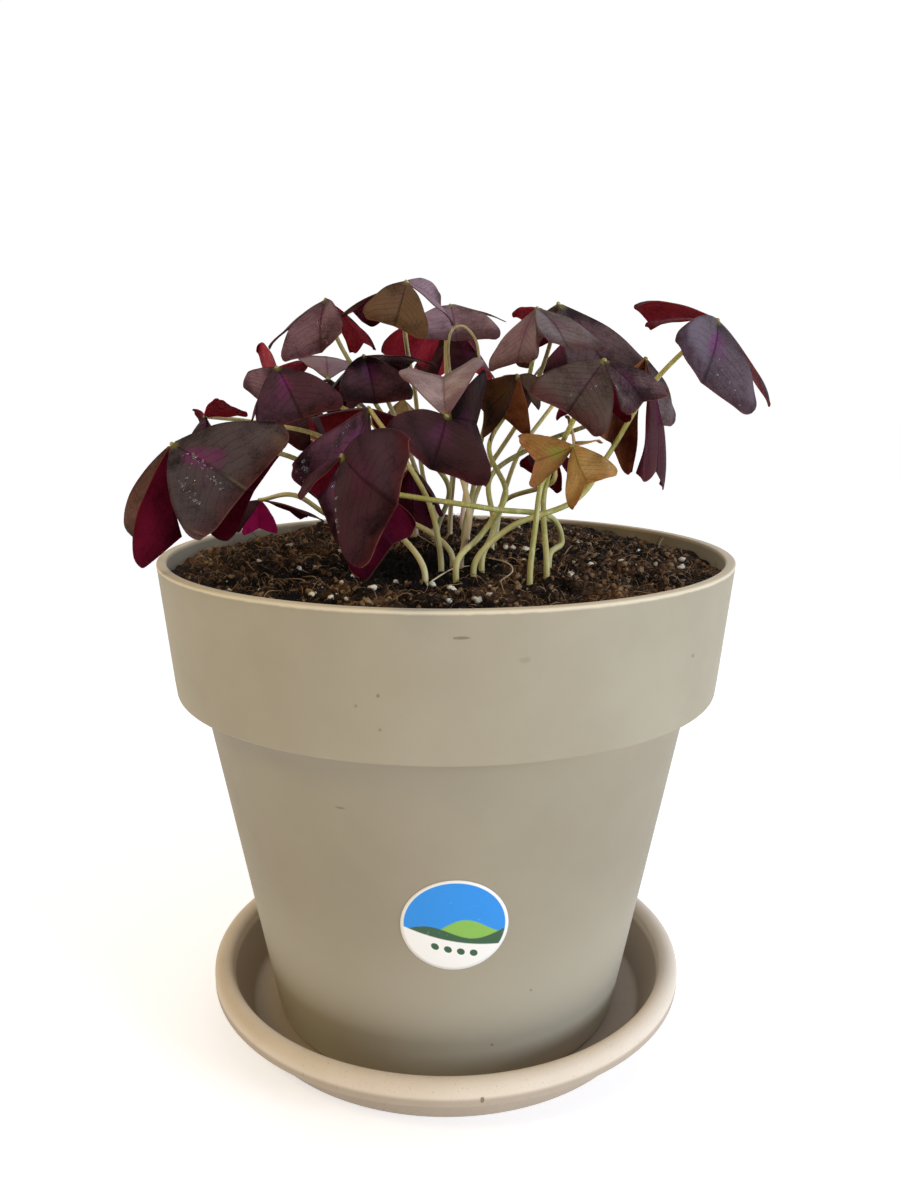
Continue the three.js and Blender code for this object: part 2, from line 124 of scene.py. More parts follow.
class Graph:
    """Adds nodes to one tree, of a material, a world or Geometry Nodes."""

    def __init__(self, tree: bpy.types.NodeTree) -> None:
        """Starts on an existing tree."""
        self.tree = tree

    def node(self, kind: str, settings: dict | None = None, **values: object) -> bpy.types.Node:
        """Adds any node.

        Args:
            kind: the node's type name.
            settings: properties to set before the sockets.
            values: a constant or a Value for each socket, whose name has _ in place of spaces.

        Returns:
            The new node.
        """
        made = self.tree.nodes.new(kind)
        for key, setting in (settings or {}).items():
            setattr(made, key, setting)
        for key, value in values.items():
            self.feed(self.socket(made.inputs, key.replace("_", " ")), value)
        return made

    @staticmethod
    def socket(sockets: bpy.types.NodeInputs, name: str) -> bpy.types.NodeSocket:
        """Returns the socket of that name that the node's settings have made active."""
        return next(s for s in sockets if s.name == name and s.enabled)

    def feed(self, socket: bpy.types.NodeSocket, value: object) -> None:
        """Links a Value to a socket, or sets a constant on it.

        Args:
            socket: the input that is fed.
            value: a Value, a colour of three parts, or a constant of the socket's own kind.
        """
        if isinstance(value, Value):
            self.tree.links.new(value.socket, socket)
        elif socket.type == "RGBA" and len(value) == 3:
            socket.default_value = (*value, 1.0)
        else:
            socket.default_value = value

    def get(self, kind: str, output: str | None = None, settings: dict | None = None,
            **values: object) -> Value:
        """Adds any node and takes one of its outputs.

        Args:
            kind: the node's type name.
            output: the output's name, or None for the first active one.
            settings: properties to set before the sockets.
            values: a constant or a Value for each socket.

        Returns:
            The output.
        """
        made = self.node(kind, settings, **values)
        if output:
            return Value(self, self.socket(made.outputs, output))
        return Value(self, next(s for s in made.outputs if s.enabled))

    def math(self, operation: str, *values: Number) -> Value:
        """Adds a Math node.

        Args:
            operation: the node's own name of it.
            values: the numbers that it takes, in order.

        Returns:
            What it gives.
        """
        made = self.node("ShaderNodeMath", {"operation": operation})
        for socket, value in zip(made.inputs, values):
            self.feed(socket, value)
        return Value(self, made.outputs[0])

    def smooth(self, value: Value, low: float, high: float) -> Value:
        """Rises smoothly from 0 to 1, or falls where low is above high.

        Args:
            value: what it follows.
            low: where it is 0.
            high: where it is 1.

        Returns:
            The share.
        """
        if low > high:
            return 1.0 - self.smooth(value, high, low)
        return self.get("ShaderNodeMapRange", "Result", {"interpolation_type": "SMOOTHSTEP"},
                        Value=value, From_Min=low, From_Max=high)

    def mix(self, share: Number, first: object, second: object) -> Value:
        """Mixes two colours, constants or Values."""
        return self.get("ShaderNodeMix", "Result", {"data_type": "RGBA"},
                        Factor=share, A=first, B=second)

    def over(self, under: object, tone: object, value: Value, low: float, high: float,
             strength: Number = 1.0) -> Value:
        """Lays a tone over a colour where a value nears high.

        Args:
            under: the colour below.
            tone: the colour that is laid over it.
            value: what the tone follows.
            low: where the tone begins, which may lie above high.
            high: where the tone is full.
            strength: the tone's share where it is full.

        Returns:
            The colour of both together.
        """
        return self.mix(self.smooth(value, low, high) * strength, under, tone)

    def noise(self, scale: float, detail: float = 2.0, where: Value | None = None,
              rough: float = 0.5) -> Value:
        """Grey noise with cells of about 1/scale metres, on Object coordinates by default."""
        return self.get("ShaderNodeTexNoise", "Fac", Vector=where or self.place(),
                        Scale=scale, Detail=detail, Roughness=rough)

    def place(self) -> Value:
        """Object coordinates, which are the part's own frame."""
        return self.get("ShaderNodeTexCoord", "Object")

    def stretched(self, scale: Point) -> Value:
        """Object coordinates scaled by a different number along each axis."""
        return self.get("ShaderNodeMapping", "Vector", Vector=self.place(), Scale=scale)

    def attribute(self, name: str) -> Value:
        """A number that the mesh carries at its points."""
        return self.get("ShaderNodeAttribute", "Fac", {"attribute_name": name})

    def axes(self, vector: Value) -> tuple[Value, Value, Value]:
        """The three parts of a vector."""
        made = self.node("ShaderNodeSeparateXYZ", Vector=vector)
        return tuple(Value(self, socket) for socket in made.outputs)

    def bump(self, height: Value, strength: float, distance: float) -> Value:
        """A normal raised by a height."""
        return self.get("ShaderNodeBump", "Normal", Height=height, Strength=strength,
                        Distance=distance)

    def random(self, low: float, high: float, seed: Number) -> Value:
        """A number of its own between low and high for each point."""
        return self.get("FunctionNodeRandomValue", "Value", {"data_type": "FLOAT"}, Min=low,
                        Max=high, Seed=seed)

    def named(self, name: str, kind: str) -> Value:
        """What the incoming geometry carries under a name."""
        return self.get("GeometryNodeInputNamedAttribute", "Attribute", {"data_type": kind},
                        Name=name)

    def stored(self, geometry: Value, name: str, value: Value, domain: str) -> Value:
        """The geometry with one more number that it carries."""
        return self.get("GeometryNodeStoreNamedAttribute", None,
                        {"data_type": "FLOAT", "domain": domain}, Geometry=geometry, Name=name,
                        Value=value)

    def strewn(self, points: Value, shapes: bpy.types.Collection, turn: Value,
               size: Value) -> Value:
        """Puts one shape of a collection on each point.

        Args:
            points: where the shapes go.
            shapes: the collection that they are picked from.
            turn: the rotation of each.
            size: the scale of each.

        Returns:
            The instances.
        """
        choice = self.get("GeometryNodeCollectionInfo", Collection=shapes,
                          Separate_Children=True, Reset_Children=True)
        return self.get("GeometryNodeInstanceOnPoints", Points=points,
                        Instance=choice, Pick_Instance=True, Rotation=turn, Scale=size)


def new_material(name: str) -> tuple[Material, Graph]:
    """Makes an empty material and the graph of its nodes.

    Args:
        name: the material's name.

    Returns:
        Both.
    """
    material = bpy.data.materials.new(name)
    material.use_nodes = True
    material.node_tree.nodes.clear()
    return material, Graph(material.node_tree)


def surface(graph: Graph, **values: object) -> None:
    """Ends a material in a Principled shader with these sockets."""
    shader = graph.get("ShaderNodeBsdfPrincipled", "BSDF", **values)
    graph.node("ShaderNodeOutputMaterial", Surface=shader)


def srgb(red: int, green: int, blue: int) -> Colour:
    """Turns a colour, as a colour card gives it, into scene values.

    Args:
        red: 0 to 255.
        green: 0 to 255.
        blue: 0 to 255.

    Returns:
        The same colour in linear values of 0 to 1.
    """
    return tuple(
        part / 12.92 if part <= 0.04045 else ((part + 0.055) / 1.055) ** 2.4
        for part in (red / 255, green / 255, blue / 255)
    )


# ---- finishes


class Finish(ABC):
    """A surface that paints its own material."""

    name: str

    @abstractmethod
    def paint(self, graph: Graph) -> None:
        """Fills the material's graph."""

    def material(self) -> Material:
        """Makes the material."""
        made, graph = new_material(self.name)
        self.paint(graph)
        return made


@dataclass(frozen=True)
class Scuff:
    """A mark on the pot: where it is on the outside, its size and how strongly it shows."""

    place: Point
    size: Point
    strength: float


@dataclass(frozen=True)
class Plastic(Finish):
    """Matte moulded plastic, with a fine grain, uneven tone and optional marks.

    Painted shade darkens it between shade_foot and shade_height, painted light whitens it
    towards its foot, and it is pale along the top of its lip, partly from wear and partly from
    a painted highlight. Heights are metres above the ground.
    """

    name: str
    tone: Colour
    pale: Colour
    # The tone of the speckles and marks, and the tone that the painted shade darkens towards.
    dirt_and_shade: Colour
    roughness: float = 0.62
    speckle: float = 0.1
    shade: float = 0.0
    shade_height: float = 0.1525
    shade_foot: float = 0.02
    shade_fade: float = 0.08
    # Painted light near the foot: its strength, the height where it fades out, and its tone.
    painted_foot_light: float = 0.0
    foot_light_height: float = 0.08
    foot_light_tone: Colour = srgb(204, 198, 184)
    # The pale top of the lip, partly wear and partly a painted highlight: where it starts, and its
    # tone.
    wear_and_highlight_height: float = 1.0
    worn: Colour = srgb(220, 206, 178)
    scuffs: tuple[Scuff, ...] = ()

    def paint(self, graph: Graph) -> None:
        """Paints the tone with its grain and rubs, then shade, lime, the worn lip and marks.

        Args:
            graph: the material's graph.
        """
        cloud = graph.noise(14.0, 4.0, rough=0.6)
        grain = graph.noise(1400.0, 2.0)
        rub = graph.noise(260.0, 3.0, graph.stretched((1.0, 1.0, 0.12)))
        height = graph.axes(graph.place())[2]
        colour = graph.over(self.tone, self.pale, cloud, 0.3, 0.7)
        colour = graph.over(colour, self.dirt_and_shade, grain, 0.62, 0.8, self.speckle)
        colour = graph.over(colour, self.pale, rub, 0.6, 0.85, 0.25)
        # Painted shade: darker below shade_height, fading out towards shade_foot.
        painted_shade = graph.smooth(height, self.shade_height, self.shade_height - 0.002) * self.shade
        painted_shade = painted_shade * graph.smooth(height, self.shade_foot, self.shade_foot + self.shade_fade)
        colour = graph.mix(painted_shade, colour, self.dirt_and_shade)
        # Painted light: paler towards the foot.
        colour = graph.over(colour, self.foot_light_tone, height + 0.03 * (cloud - 0.5), self.foot_light_height,
                            0.01, self.painted_foot_light)
        # Pale along the top of the lip, partly from wear and partly from a painted highlight.
        colour = graph.over(colour, self.worn, height + 0.0006 * (rub - 0.5), self.wear_and_highlight_height,
                            self.wear_and_highlight_height + 0.001, 0.8)
        for scuff in self.scuffs:
            colour = graph.mix(self._mark(graph, scuff), colour, self.dirt_and_shade)
        rough = self.roughness + 0.12 * (graph.noise(90.0, 3.0) - 0.5)
        normal = graph.bump(grain + 0.5 * cloud, 0.12, 0.0002)
        surface(graph, Base_Color=colour, Roughness=rough, Normal=normal)

    @staticmethod
    def _mark(graph: Graph, scuff: Scuff) -> Value:
        """Masks one mark, ragged at its edge.

        Args:
            graph: the material's graph.
            scuff: the mark.

        Returns:
            The share of dirt, 0 away from the mark.
        """
        ragged = graph.noise(900.0, 3.0)
        away = [
            (part - centre) / half
            for part, centre, half in zip(graph.axes(graph.place()), scuff.place, scuff.size)
        ]
        reach = away[0] * away[0] + away[1] * away[1] + away[2] * away[2]
        return graph.smooth(reach + 0.9 * ragged, 1.35, 0.75) * scuff.strength


@dataclass(frozen=True)
class LeafSkin(Finish):
    """The two faces of a leaf: its upper side with hem and midrib blotch, and its underside.

    The wet film on the upper side has its own coat, whose weight is the gloss. A low index of
    refraction keeps the dry face dark where it is seen at a flat angle.
    """

    name: str
    dark: Colour
    pale: Colour
    hem: Colour = srgb(70, 22, 24)
    blotch: Colour = srgb(118, 44, 96)
    blotch_strength: float = 0.7
    # The underside's own crimson, made brighter to paint the light that shines through the thin
    # blade.
    under: Colour = srgb(114, 22, 42)
    under_deep: Colour = srgb(64, 8, 18)
    rim: Colour = srgb(150, 104, 78)
    base: Colour = srgb(128, 122, 58)
    roughness: float = 0.5
    refraction: float = 1.06
    gloss: float = 0.22
    film_roughness: float = 0.3
    film_refraction: float = 1.4
    veins: float = 9.0

    def paint(self, graph: Graph) -> None:
        """Paints both faces from the blade's own UV map and attributes.

        Args:
            graph: the material's graph.
        """
        across, along, _ = graph.axes(graph.get("ShaderNodeUVMap", None, {"uv_map": "blade"}))
        share = graph.math("ABSOLUTE", 2.0 * across - 1.0)
        cloud = graph.noise(58.0, 5.0, rough=0.62) - 0.5
        grain = graph.noise(1300.0, 3.0, rough=0.7) - 0.5
        mood = graph.attribute("mood")
        side = graph.attribute("side")
        vein = self._veins(graph, share, along, cloud)
        crease = graph.smooth(share, 0.035, 0.0)
        edge = graph.math("MAXIMUM", share, along)

        level = 0.46 + 2.3 * cloud + 0.9 * grain + 0.3 * (mood - 0.5)
        level = level + 0.35 * graph.smooth(along, 0.0, 0.55) - 0.3 * graph.smooth(edge, 0.7, 1.0)
        top = graph.over(self.dark, self.pale, level, 0.1, 1.0)
        top = graph.mix(self._blotch(graph, share, along, cloud, mood), top, self.blotch)
        top = graph.over(top, self.hem, edge + 0.55 * cloud, 0.78, 1.04, 0.35 + 0.4 * mood)
        # Darker veins, which are the leaf's own, and a darker midrib crease, which is painted shade
        # in the fold.
        top = graph.mix(vein * 0.1 + crease * 0.4, top, self.dark)

        # The underside: its crimson with painted light shining through, deeper in places and towards
        # the tip.
        depth = 1.6 * cloud + 0.5 * grain + 0.35 * along
        under = graph.over(self.under, self.under_deep, depth, -0.25, 0.65)
        under = graph.mix(vein * 0.16 + crease * 0.25, under, self.blotch)

        colour = graph.mix(side, under, top)
        brim = graph.smooth(side * (1.0 - side), 0.08, 0.2)
        lip = graph.math("MAXIMUM", graph.smooth(edge, 0.986, 0.999) * 0.6, brim)
        colour = graph.mix(lip * graph.smooth(cloud, -0.25, 0.1) * 0.4, colour, self.rim)
        colour = graph.over(colour, self.base, along + 0.1 * share, 0.13, 0.03)
        rough = self.roughness + 0.3 * cloud + 0.15 * grain
        puckers = graph.noise(260.0, 2.0) - 0.5
        relief = vein * 0.4 - crease + 0.35 * grain + 2.5 * cloud + 1.2 * puckers
        wet = graph.smooth(graph.noise(34.0, 3.0), 0.45, 0.68)
        surface(graph, Base_Color=colour, Roughness=rough, Normal=graph.bump(relief, 0.8, 0.0007),
                IOR=self.refraction, Coat_Weight=side * (0.1 + 0.9 * wet) * self.gloss,
                Coat_Roughness=self.film_roughness, Coat_IOR=self.film_refraction)

    def _veins(self, graph: Graph, share: Value, along: Value, wobble: Value) -> Value:
        """Masks fine lines that leave the midrib forwards and outwards.

        Args:
            graph: the material's graph.
            share: place across, 0 on the midrib and 1 on either edge.
            along: place along, 0 at the hub and 1 at the outer edge.
            wobble: the cloud that bends the lines.

        Returns:
            1 on the lines.
        """
        course = (along - 0.42 * share + 0.22 * wobble) * self.veins
        teeth = graph.math("PINGPONG", course, 0.5)
        return graph.smooth(teeth, 0.09, 0.0) * graph.smooth(share, 1.0, 0.3)

    def _blotch(self, graph: Graph, share: Value, along: Value, wobble: Value,
                mood: Value) -> Value:
        """Masks the bright patch on both sides of the midrib.

        Args:
            graph: the material's graph.
            share: place across, 0 on the midrib and 1 on either edge.
            along: place along, 0 at the hub and 1 at the outer edge.
            wobble: the cloud that makes the patch uneven.
            mood: the leaflet's own number, 0 to 1.

        Returns:
            The share of the patch's colour.
        """
        width = graph.smooth(share + 0.7 * wobble, 0.3, 0.02)
        start = graph.smooth(along + 0.5 * wobble, 0.15, 0.35)
        stop = graph.smooth(along + 0.7 * wobble, 0.75, 0.45)
        return width * start * stop * (0.4 + 0.6 * mood) * self.blotch_strength


class LeafTone(Enum):
    """The tones that the leaflets of one plant have, by age and by painted light.

    Pale tops paint the sheen of the bright room on leaflets that face up, some dark tops paint
    the shade on leaflets that hang under others, and bright undersides paint the light that
    shines through them.
    """

    CHARCOAL = LeafSkin("leaf charcoal", srgb(8, 5, 6), srgb(78, 67, 70),
                        blotch=srgb(122, 40, 100), blotch_strength=0.9, gloss=0.45)
    SMOKE = LeafSkin("leaf smoke", srgb(40, 27, 29), srgb(101, 80, 82), blotch_strength=0.3)
    SLATE = LeafSkin("leaf slate", srgb(17, 12, 9), srgb(80, 64, 57), blotch_strength=0.12)
    BRONZE = LeafSkin("leaf bronze", srgb(52, 24, 16), srgb(104, 70, 56))
    PLUM = LeafSkin("leaf plum", srgb(20, 7, 11), srgb(76, 47, 56), blotch_strength=0.95)
    ORCHID = LeafSkin("leaf orchid", srgb(32, 12, 18), srgb(114, 71, 82),
                      blotch=srgb(140, 46, 112), blotch_strength=1.0, gloss=0.3)
    # Its undersides are made very bright to paint strong light shining through them.
    FUCHSIA = LeafSkin("leaf fuchsia", srgb(24, 5, 12), srgb(78, 38, 52), blotch_strength=0.5,
                       under=srgb(250, 52, 136), under_deep=srgb(212, 34, 104))
    MAUVE = LeafSkin("leaf mauve", srgb(64, 38, 44), srgb(128, 96, 106), blotch_strength=0.5)
    ROSE = LeafSkin("leaf rose", srgb(82, 57, 61), srgb(140, 113, 122), blotch_strength=0.35)
    # A painted sheen: the bright room reflected on a leaflet that faces up.
    SILVER = LeafSkin("leaf silver", srgb(120, 92, 94), srgb(170, 148, 146),
                      blotch=srgb(140, 84, 100), blotch_strength=0.3)
    ASH = LeafSkin("leaf ash", srgb(54, 40, 41), srgb(116, 101, 101), blotch_strength=0.2)
    DUSK = LeafSkin("leaf dusk", srgb(19, 8, 13), srgb(66, 40, 48), blotch=srgb(84, 30, 60),
                    blotch_strength=0.4, under=srgb(80, 10, 30), under_deep=srgb(36, 2, 12),
                    gloss=0.12)
    # Painted shade, for leaflets that hang under others.
    NIGHT = LeafSkin("leaf night", srgb(12, 4, 5), srgb(56, 30, 31), hem=srgb(70, 22, 28),
                     blotch_strength=0.2, gloss=0.1)
    OLIVE = LeafSkin("leaf olive", srgb(38, 22, 10), srgb(96, 70, 48), hem=srgb(84, 54, 30),
                     blotch=srgb(104, 68, 62), blotch_strength=0.3)
    EMBER = LeafSkin("leaf ember", srgb(20, 7, 3), srgb(64, 34, 14), hem=srgb(100, 60, 32),
                     blotch=srgb(74, 60, 16), blotch_strength=0.8, under=srgb(176, 108, 68),
                     under_deep=srgb(88, 36, 20), gloss=0.1)
    VIOLET = LeafSkin("leaf violet", srgb(56, 39, 46), srgb(96, 83, 92), hem=srgb(72, 46, 50),
                      blotch=srgb(124, 46, 110), blotch_strength=0.9, under=srgb(138, 38, 44),
                      under_deep=srgb(106, 22, 26))
    WINE = LeafSkin("leaf wine", srgb(20, 3, 9), srgb(60, 14, 28), blotch_strength=0.2,
                    under=srgb(164, 28, 44), under_deep=srgb(114, 12, 26), gloss=0.03)
    CRIMSON = LeafSkin("leaf crimson", srgb(20, 5, 8), srgb(70, 38, 44), blotch_strength=0.5,
                       under=srgb(182, 50, 64), under_deep=srgb(138, 32, 44))
    STRAW = LeafSkin("leaf straw", srgb(152, 114, 62), srgb(204, 168, 114), hem=srgb(166, 104, 66),
                     blotch=srgb(146, 138, 62), blotch_strength=1.0, under=srgb(170, 122, 70),
                     under_deep=srgb(146, 96, 50), rim=srgb(190, 146, 108), base=srgb(166, 168, 88))
    TAN = LeafSkin("leaf tan", srgb(106, 66, 28), srgb(150, 108, 60), hem=srgb(160, 102, 66),
                   blotch=srgb(132, 124, 52), blotch_strength=1.0, under=srgb(140, 92, 50),
                   under_deep=srgb(118, 68, 34), rim=srgb(182, 136, 100), base=srgb(166, 168, 88))


@dataclass(frozen=True)
class StemSkin(Finish):
    """A leaf's stem, from its pale foot in the soil to its neck under the hub."""

    name: str
    foot: Colour
    middle: Colour
    neck: Colour
    streak: Colour = srgb(230, 222, 174)

    def paint(self, graph: Graph) -> None:
        """Paints the stem by how far along it a point is, with pale streaks.

        Args:
            graph: the material's graph.
        """
        along = graph.attribute("along")
        patchy = graph.noise(120.0, 3.0) - 0.5
        fibre = graph.noise(900.0, 2.0, graph.stretched((1.0, 1.0, 0.08)))
        colour = graph.over(self.foot, self.middle, along + 0.12 * patchy, 0.1, 0.42)
        colour = graph.over(colour, self.neck, along + 0.1 * patchy, 0.6, 0.98)
        colour = graph.over(colour, self.streak, fibre, 0.5, 0.75, 0.45)
        surface(graph, Base_Color=colour, Roughness=0.38 + 0.2 * fibre,
                Normal=graph.bump(fibre, 0.25, 0.0002), Subsurface_Weight=0.2,
                Subsurface_Radius=(0.4, 0.35, 0.1), Subsurface_Scale=0.002)


class StemTone(Enum):
    """The tones of the stems: fresh at the front, blushed and pale at the back."""

    FRESH = StemSkin("stem fresh", srgb(192, 184, 122), srgb(164, 160, 84), srgb(180, 172, 94))
    GOLD = StemSkin("stem gold", srgb(212, 202, 152), srgb(186, 172, 102), srgb(190, 176, 106))
    BLUSH = StemSkin("stem blush", srgb(214, 190, 172), srgb(206, 190, 148), srgb(190, 172, 104))
    DRY = StemSkin("stalk dry", srgb(196, 182, 130), srgb(190, 176, 122), srgb(176, 160, 108))


@dataclass(frozen=True)
class Earth(Finish):
    """Moist potting mix: nearly black in its hollows, tan where its fibres stand out."""

    name: str
    dark: Colour = srgb(10, 5, 3)
    brown: Colour = srgb(120, 87, 59)
    tan: Colour = srgb(190, 158, 121)
    tan_share: float = 0.7
    tint_share: float = 0.42
    # Where the mix is darker under the leaves, partly damp and partly painted shade.
    damp_shade_place: Spot = (-0.016, -0.034)
    damp_shade_radius: float = 0.046

    def paint(self, graph: Graph) -> None:
        """Paints the mix, darker where it is damp and in painted shade under the leaves, with the
        tint of each crumb.

        Args:
            graph: the material's graph.
        """
        tint = graph.attribute("tint")
        coarse = graph.noise(120.0, 5.0, rough=0.7)
        fine = graph.noise(1100.0, 4.0, rough=0.75)
        level = 0.5 * coarse + 0.5 * fine + self.tint_share * (tint - 0.35)
        level = level + 0.5 * (graph.noise(34.0, 2.0) - 0.5)
        # Darker round one place under the leaves: partly damp, partly painted shade.
        across, ahead, _ = graph.axes(graph.place())
        across, ahead = across - self.damp_shade_place[0], ahead - self.damp_shade_place[1]
        away = graph.math("SQRT", across * across + ahead * ahead)
        level = level - 0.5 * graph.smooth(away, self.damp_shade_radius, 0.3 * self.damp_shade_radius)
        colour = graph.over(self.dark, self.brown, level, 0.3, 0.56)
        colour = graph.over(colour, self.tan, level, 0.52, 0.78, self.tan_share)
        normal = graph.bump(coarse + 0.7 * fine, 1.0, 0.0016)
        surface(graph, Base_Color=colour, Roughness=0.9 - 0.2 * fine, Normal=normal,
                Specular_IOR_Level=0.2)


@dataclass(frozen=True)
class Mineral(Finish):
    """Perlite: white, pitted and dusted with soil."""

    name: str = "perlite"
    white: Colour = srgb(236, 228, 212)
    stained: Colour = srgb(150, 122, 96)

    def paint(self, graph: Graph) -> None:
        """Paints the grain and its dust.

        Args:
            graph: the material's graph.
        """
        dust = graph.noise(420.0, 4.0, rough=0.65) + 0.25 * graph.attribute("tint")
        pits = graph.noise(1800.0, 2.0)
        surface(graph, Base_Color=graph.over(self.white, self.stained, dust, 0.5, 0.85),
                Roughness=0.8 - 0.1 * pits, Normal=graph.bump(pits, 0.7, 0.0004))


@dataclass(frozen=True)
class Water(Finish):
    """Clear water in drops."""

    name: str = "water"
    tint: Colour = (0.95, 0.95, 0.98)
    refraction: float = 1.33
    clearness: float = 0.9

    def paint(self, graph: Graph) -> None:
        """Paints the water."""
        surface(graph, Base_Color=self.tint, Roughness=0.06, IOR=self.refraction,
                Transmission_Weight=self.clearness)


@dataclass(frozen=True)
class LabelPrint(Finish):
    """Printed paper: a blue field over two green hills and a white foot with a row of dots."""

    name: str = "label print"
    blue: Colour = srgb(14, 134, 218)
    white: Colour = srgb(236, 233, 228)
    light: Colour = srgb(128, 178, 70)
    deep: Colour = srgb(40, 84, 52)
    dots: tuple[float, ...] = (-0.36, -0.12, 0.12, 0.36)
    dot_drop: float = 0.56

    def paint(self, graph: Graph) -> None:
        """Paints the print on the label's own map, taken to run from -1 to 1 across it.

        Args:
            graph: the material's graph.
        """
        mapped = graph.get("ShaderNodeUVMap", None, {"uv_map": "face"})
        across, up, _ = graph.axes(mapped)
        across, up = 2.0 * across - 1.0, 2.0 * up - 1.0
        reach = graph.math("SQRT", across * across + up * up)
        far = up - 0.16 * graph.math("SINE", across * 4.0 + 0.8)
        near = up + 0.14 * graph.math("SINE", across * 3.4 + 0.3)
        foot = up + 0.22 * across - 0.12 * across * across
        colour = graph.over(self.blue, self.light, far, -0.02, -0.05)
        colour = graph.over(colour, self.deep, near, -0.14, -0.17)
        colour = graph.over(colour, self.white, foot, -0.34, -0.37)
        for column in self.dots:
            side, level = across - column, foot + self.dot_drop
            colour = graph.over(colour, self.deep, side * side + level * level, 0.0062, 0.0046)
        colour = graph.over(colour, self.white, reach, 0.93, 0.95)
        worn = graph.noise(500.0, 3.0)
        colour = graph.over(colour, self.white, worn, 0.66, 0.8, 0.2)
        surface(graph, Base_Color=colour, Roughness=0.34 + 0.1 * worn,
                Normal=graph.bump(worn, 0.1, 0.0001))


# ---- meshes


@dataclass
class Net:
    """Points and faces that are gathered into one mesh, with numbers carried at the points."""

    points: list[Array] = field(default_factory=list)
    faces: Faces = field(default_factory=list)
    looks: list[int] = field(default_factory=list)
    carried: dict[str, list[Array]] = field(default_factory=dict)
    maps: list[Array] = field(default_factory=list)
    count: int = 0

    def add(self, points: Array, faces: Faces, look: int = 0,
            uv: Array | None = None, **carried: Array) -> None:
        """Adds a set of points and the faces between them.

        Args:
            points: one row of x, y and z for each point.
            faces: indices into these points.
            look: the material index of the faces.
            uv: one row of u and v for each point, or zeros.
            carried: a number for each point, under its attribute's name.
        """
        start = self.count
        self.points.append(points)
        self.faces.extend(tuple(start + i for i in face) for face in faces)
        self.looks.extend([look] * len(faces))
        self.maps.append(np.zeros((len(points), 2)) if uv is None else uv)
        for name, numbers in carried.items():
            self.carried.setdefault(name, [np.zeros(start)]).append(numbers)
        self.count += len(points)
        for name, rows in self.carried.items():
            missing = self.count - sum(len(row) for row in rows)
            rows.append(np.zeros(missing))

    @classmethod
    def of(cls, skin: Skin) -> "Net":
        """Starts a net with one set of points and faces."""
        net = cls()
        net.add(*skin)
        return net

    def build(self, name: str, materials: list[Material],
              uv_name: str = "face") -> Piece:
        """Makes the object, smooth and in the part's own frame.

        Args:
            name: what the object is called.
            materials: what the material indices of the faces stand for.
            uv_name: the name of its UV map.

        Returns:
            The object.
        """
        mesh = bpy.data.meshes.new(name)
        mesh.from_pydata(np.concatenate(self.points).tolist(), [], self.faces)
        for material in materials:
            mesh.materials.append(material)
        mesh.polygons.foreach_set("material_index", self.looks)
        corner_points = np.zeros(len(mesh.loops), np.int32)
        mesh.loops.foreach_get("vertex_index", corner_points)
        uv = np.concatenate(self.maps)[corner_points]
        mesh.uv_layers.new(name=uv_name).data.foreach_set("uv", uv.ravel())
        for key, rows in self.carried.items():
            carry(mesh, key, np.concatenate(rows))
        mesh.shade_smooth()
        mesh.update()
        return placed(name, mesh)


def placed(name: str, data: bpy.types.ID) -> Piece:
    """Makes an object of some data and puts it in the scene."""
    made = bpy.data.objects.new(name, data)
    bpy.context.scene.collection.objects.link(made)
    return made


def carry(mesh: bpy.types.Mesh, name: str, numbers: Array) -> None:
    """Stores a number or a vector at each point of a mesh.

    Args:
        mesh: the mesh.
        name: the attribute's name.
        numbers: a number, or a row of three, for each point.
    """
    kind, key = ("FLOAT", "value") if numbers.ndim == 1 else ("FLOAT_VECTOR", "vector")
    stored = mesh.attributes.new(name, kind, "POINT")
    stored.data.foreach_set(key, numbers.astype(np.float32).ravel())


def in_metres(way: tuple[Point, ...]) -> list[Point]:
    """Turns places in millimetres into places in metres."""
    return [tuple(MM * part for part in place) for place in way]


def arc(centre: Spot, size: float, start: float, stop: float, steps: int) -> list[Spot]:
    """Points of an arc in a profile, between two angles in degrees."""
    angles = np.radians(np.linspace(start, stop, steps + 1))
    return [(centre[0] + size * math.cos(a), centre[1] + size * math.sin(a)) for a in angles]


def turned(profile: list[Spot], sides: int) -> Skin:
    """Turns a profile about +Z into a closed skin.

    Args:
        profile: (radius, height) from the bottom of the axis outwards, up and back to it.
        sides: number of facets around.

    Returns:
        The points and the faces, which point outwards.
    """
    angles = np.linspace(0.0, 2.0 * math.pi, sides, endpoint=False)
    rings = profile[1:-1]
    points = [(0.0, 0.0, profile[0][1])]
    for radius, height in rings:
        points += [(radius * math.cos(a), radius * math.sin(a), height) for a in angles]
    points.append((0.0, 0.0, profile[-1][1]))
    last = len(points) - 1
    faces: Faces = []
    for i in range(sides):
        j = (i + 1) % sides
        faces.append((0, 1 + j, 1 + i))
        for ring in range(len(rings) - 1):
            low, high = 1 + ring * sides, 1 + (ring + 1) * sides
            faces.append((low + i, low + j, high + j, high + i))
        top = 1 + (len(rings) - 1) * sides
        faces.append((top + i, top + j, last))
    return np.array(points), faces


def ball(radius: float, rings: int, sides: int) -> Skin:
    """Returns a round skin."""
    turns = np.linspace(0.0, math.pi, rings)
    profile = [(max(radius * math.sin(a), 0.0), -radius * math.cos(a)) for a in turns]
    return turned(profile, sides)


def finished(piece: Piece, slot: str | None, *nodes: str) -> Piece:
    """Hands a finished piece to the frame and reports it.

    Args:
        piece: the object, in place.
        slot: the record's material slot, if it takes one; not used.
        nodes: the solids that it stands for.

    Returns:
        The same object.
    """
    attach(piece, BODY)
    if nodes:
        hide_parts(*nodes)
    log.info("%s: %d faces", piece.name, len(piece.data.polygons))
    return piece


# ---- Geometry Nodes


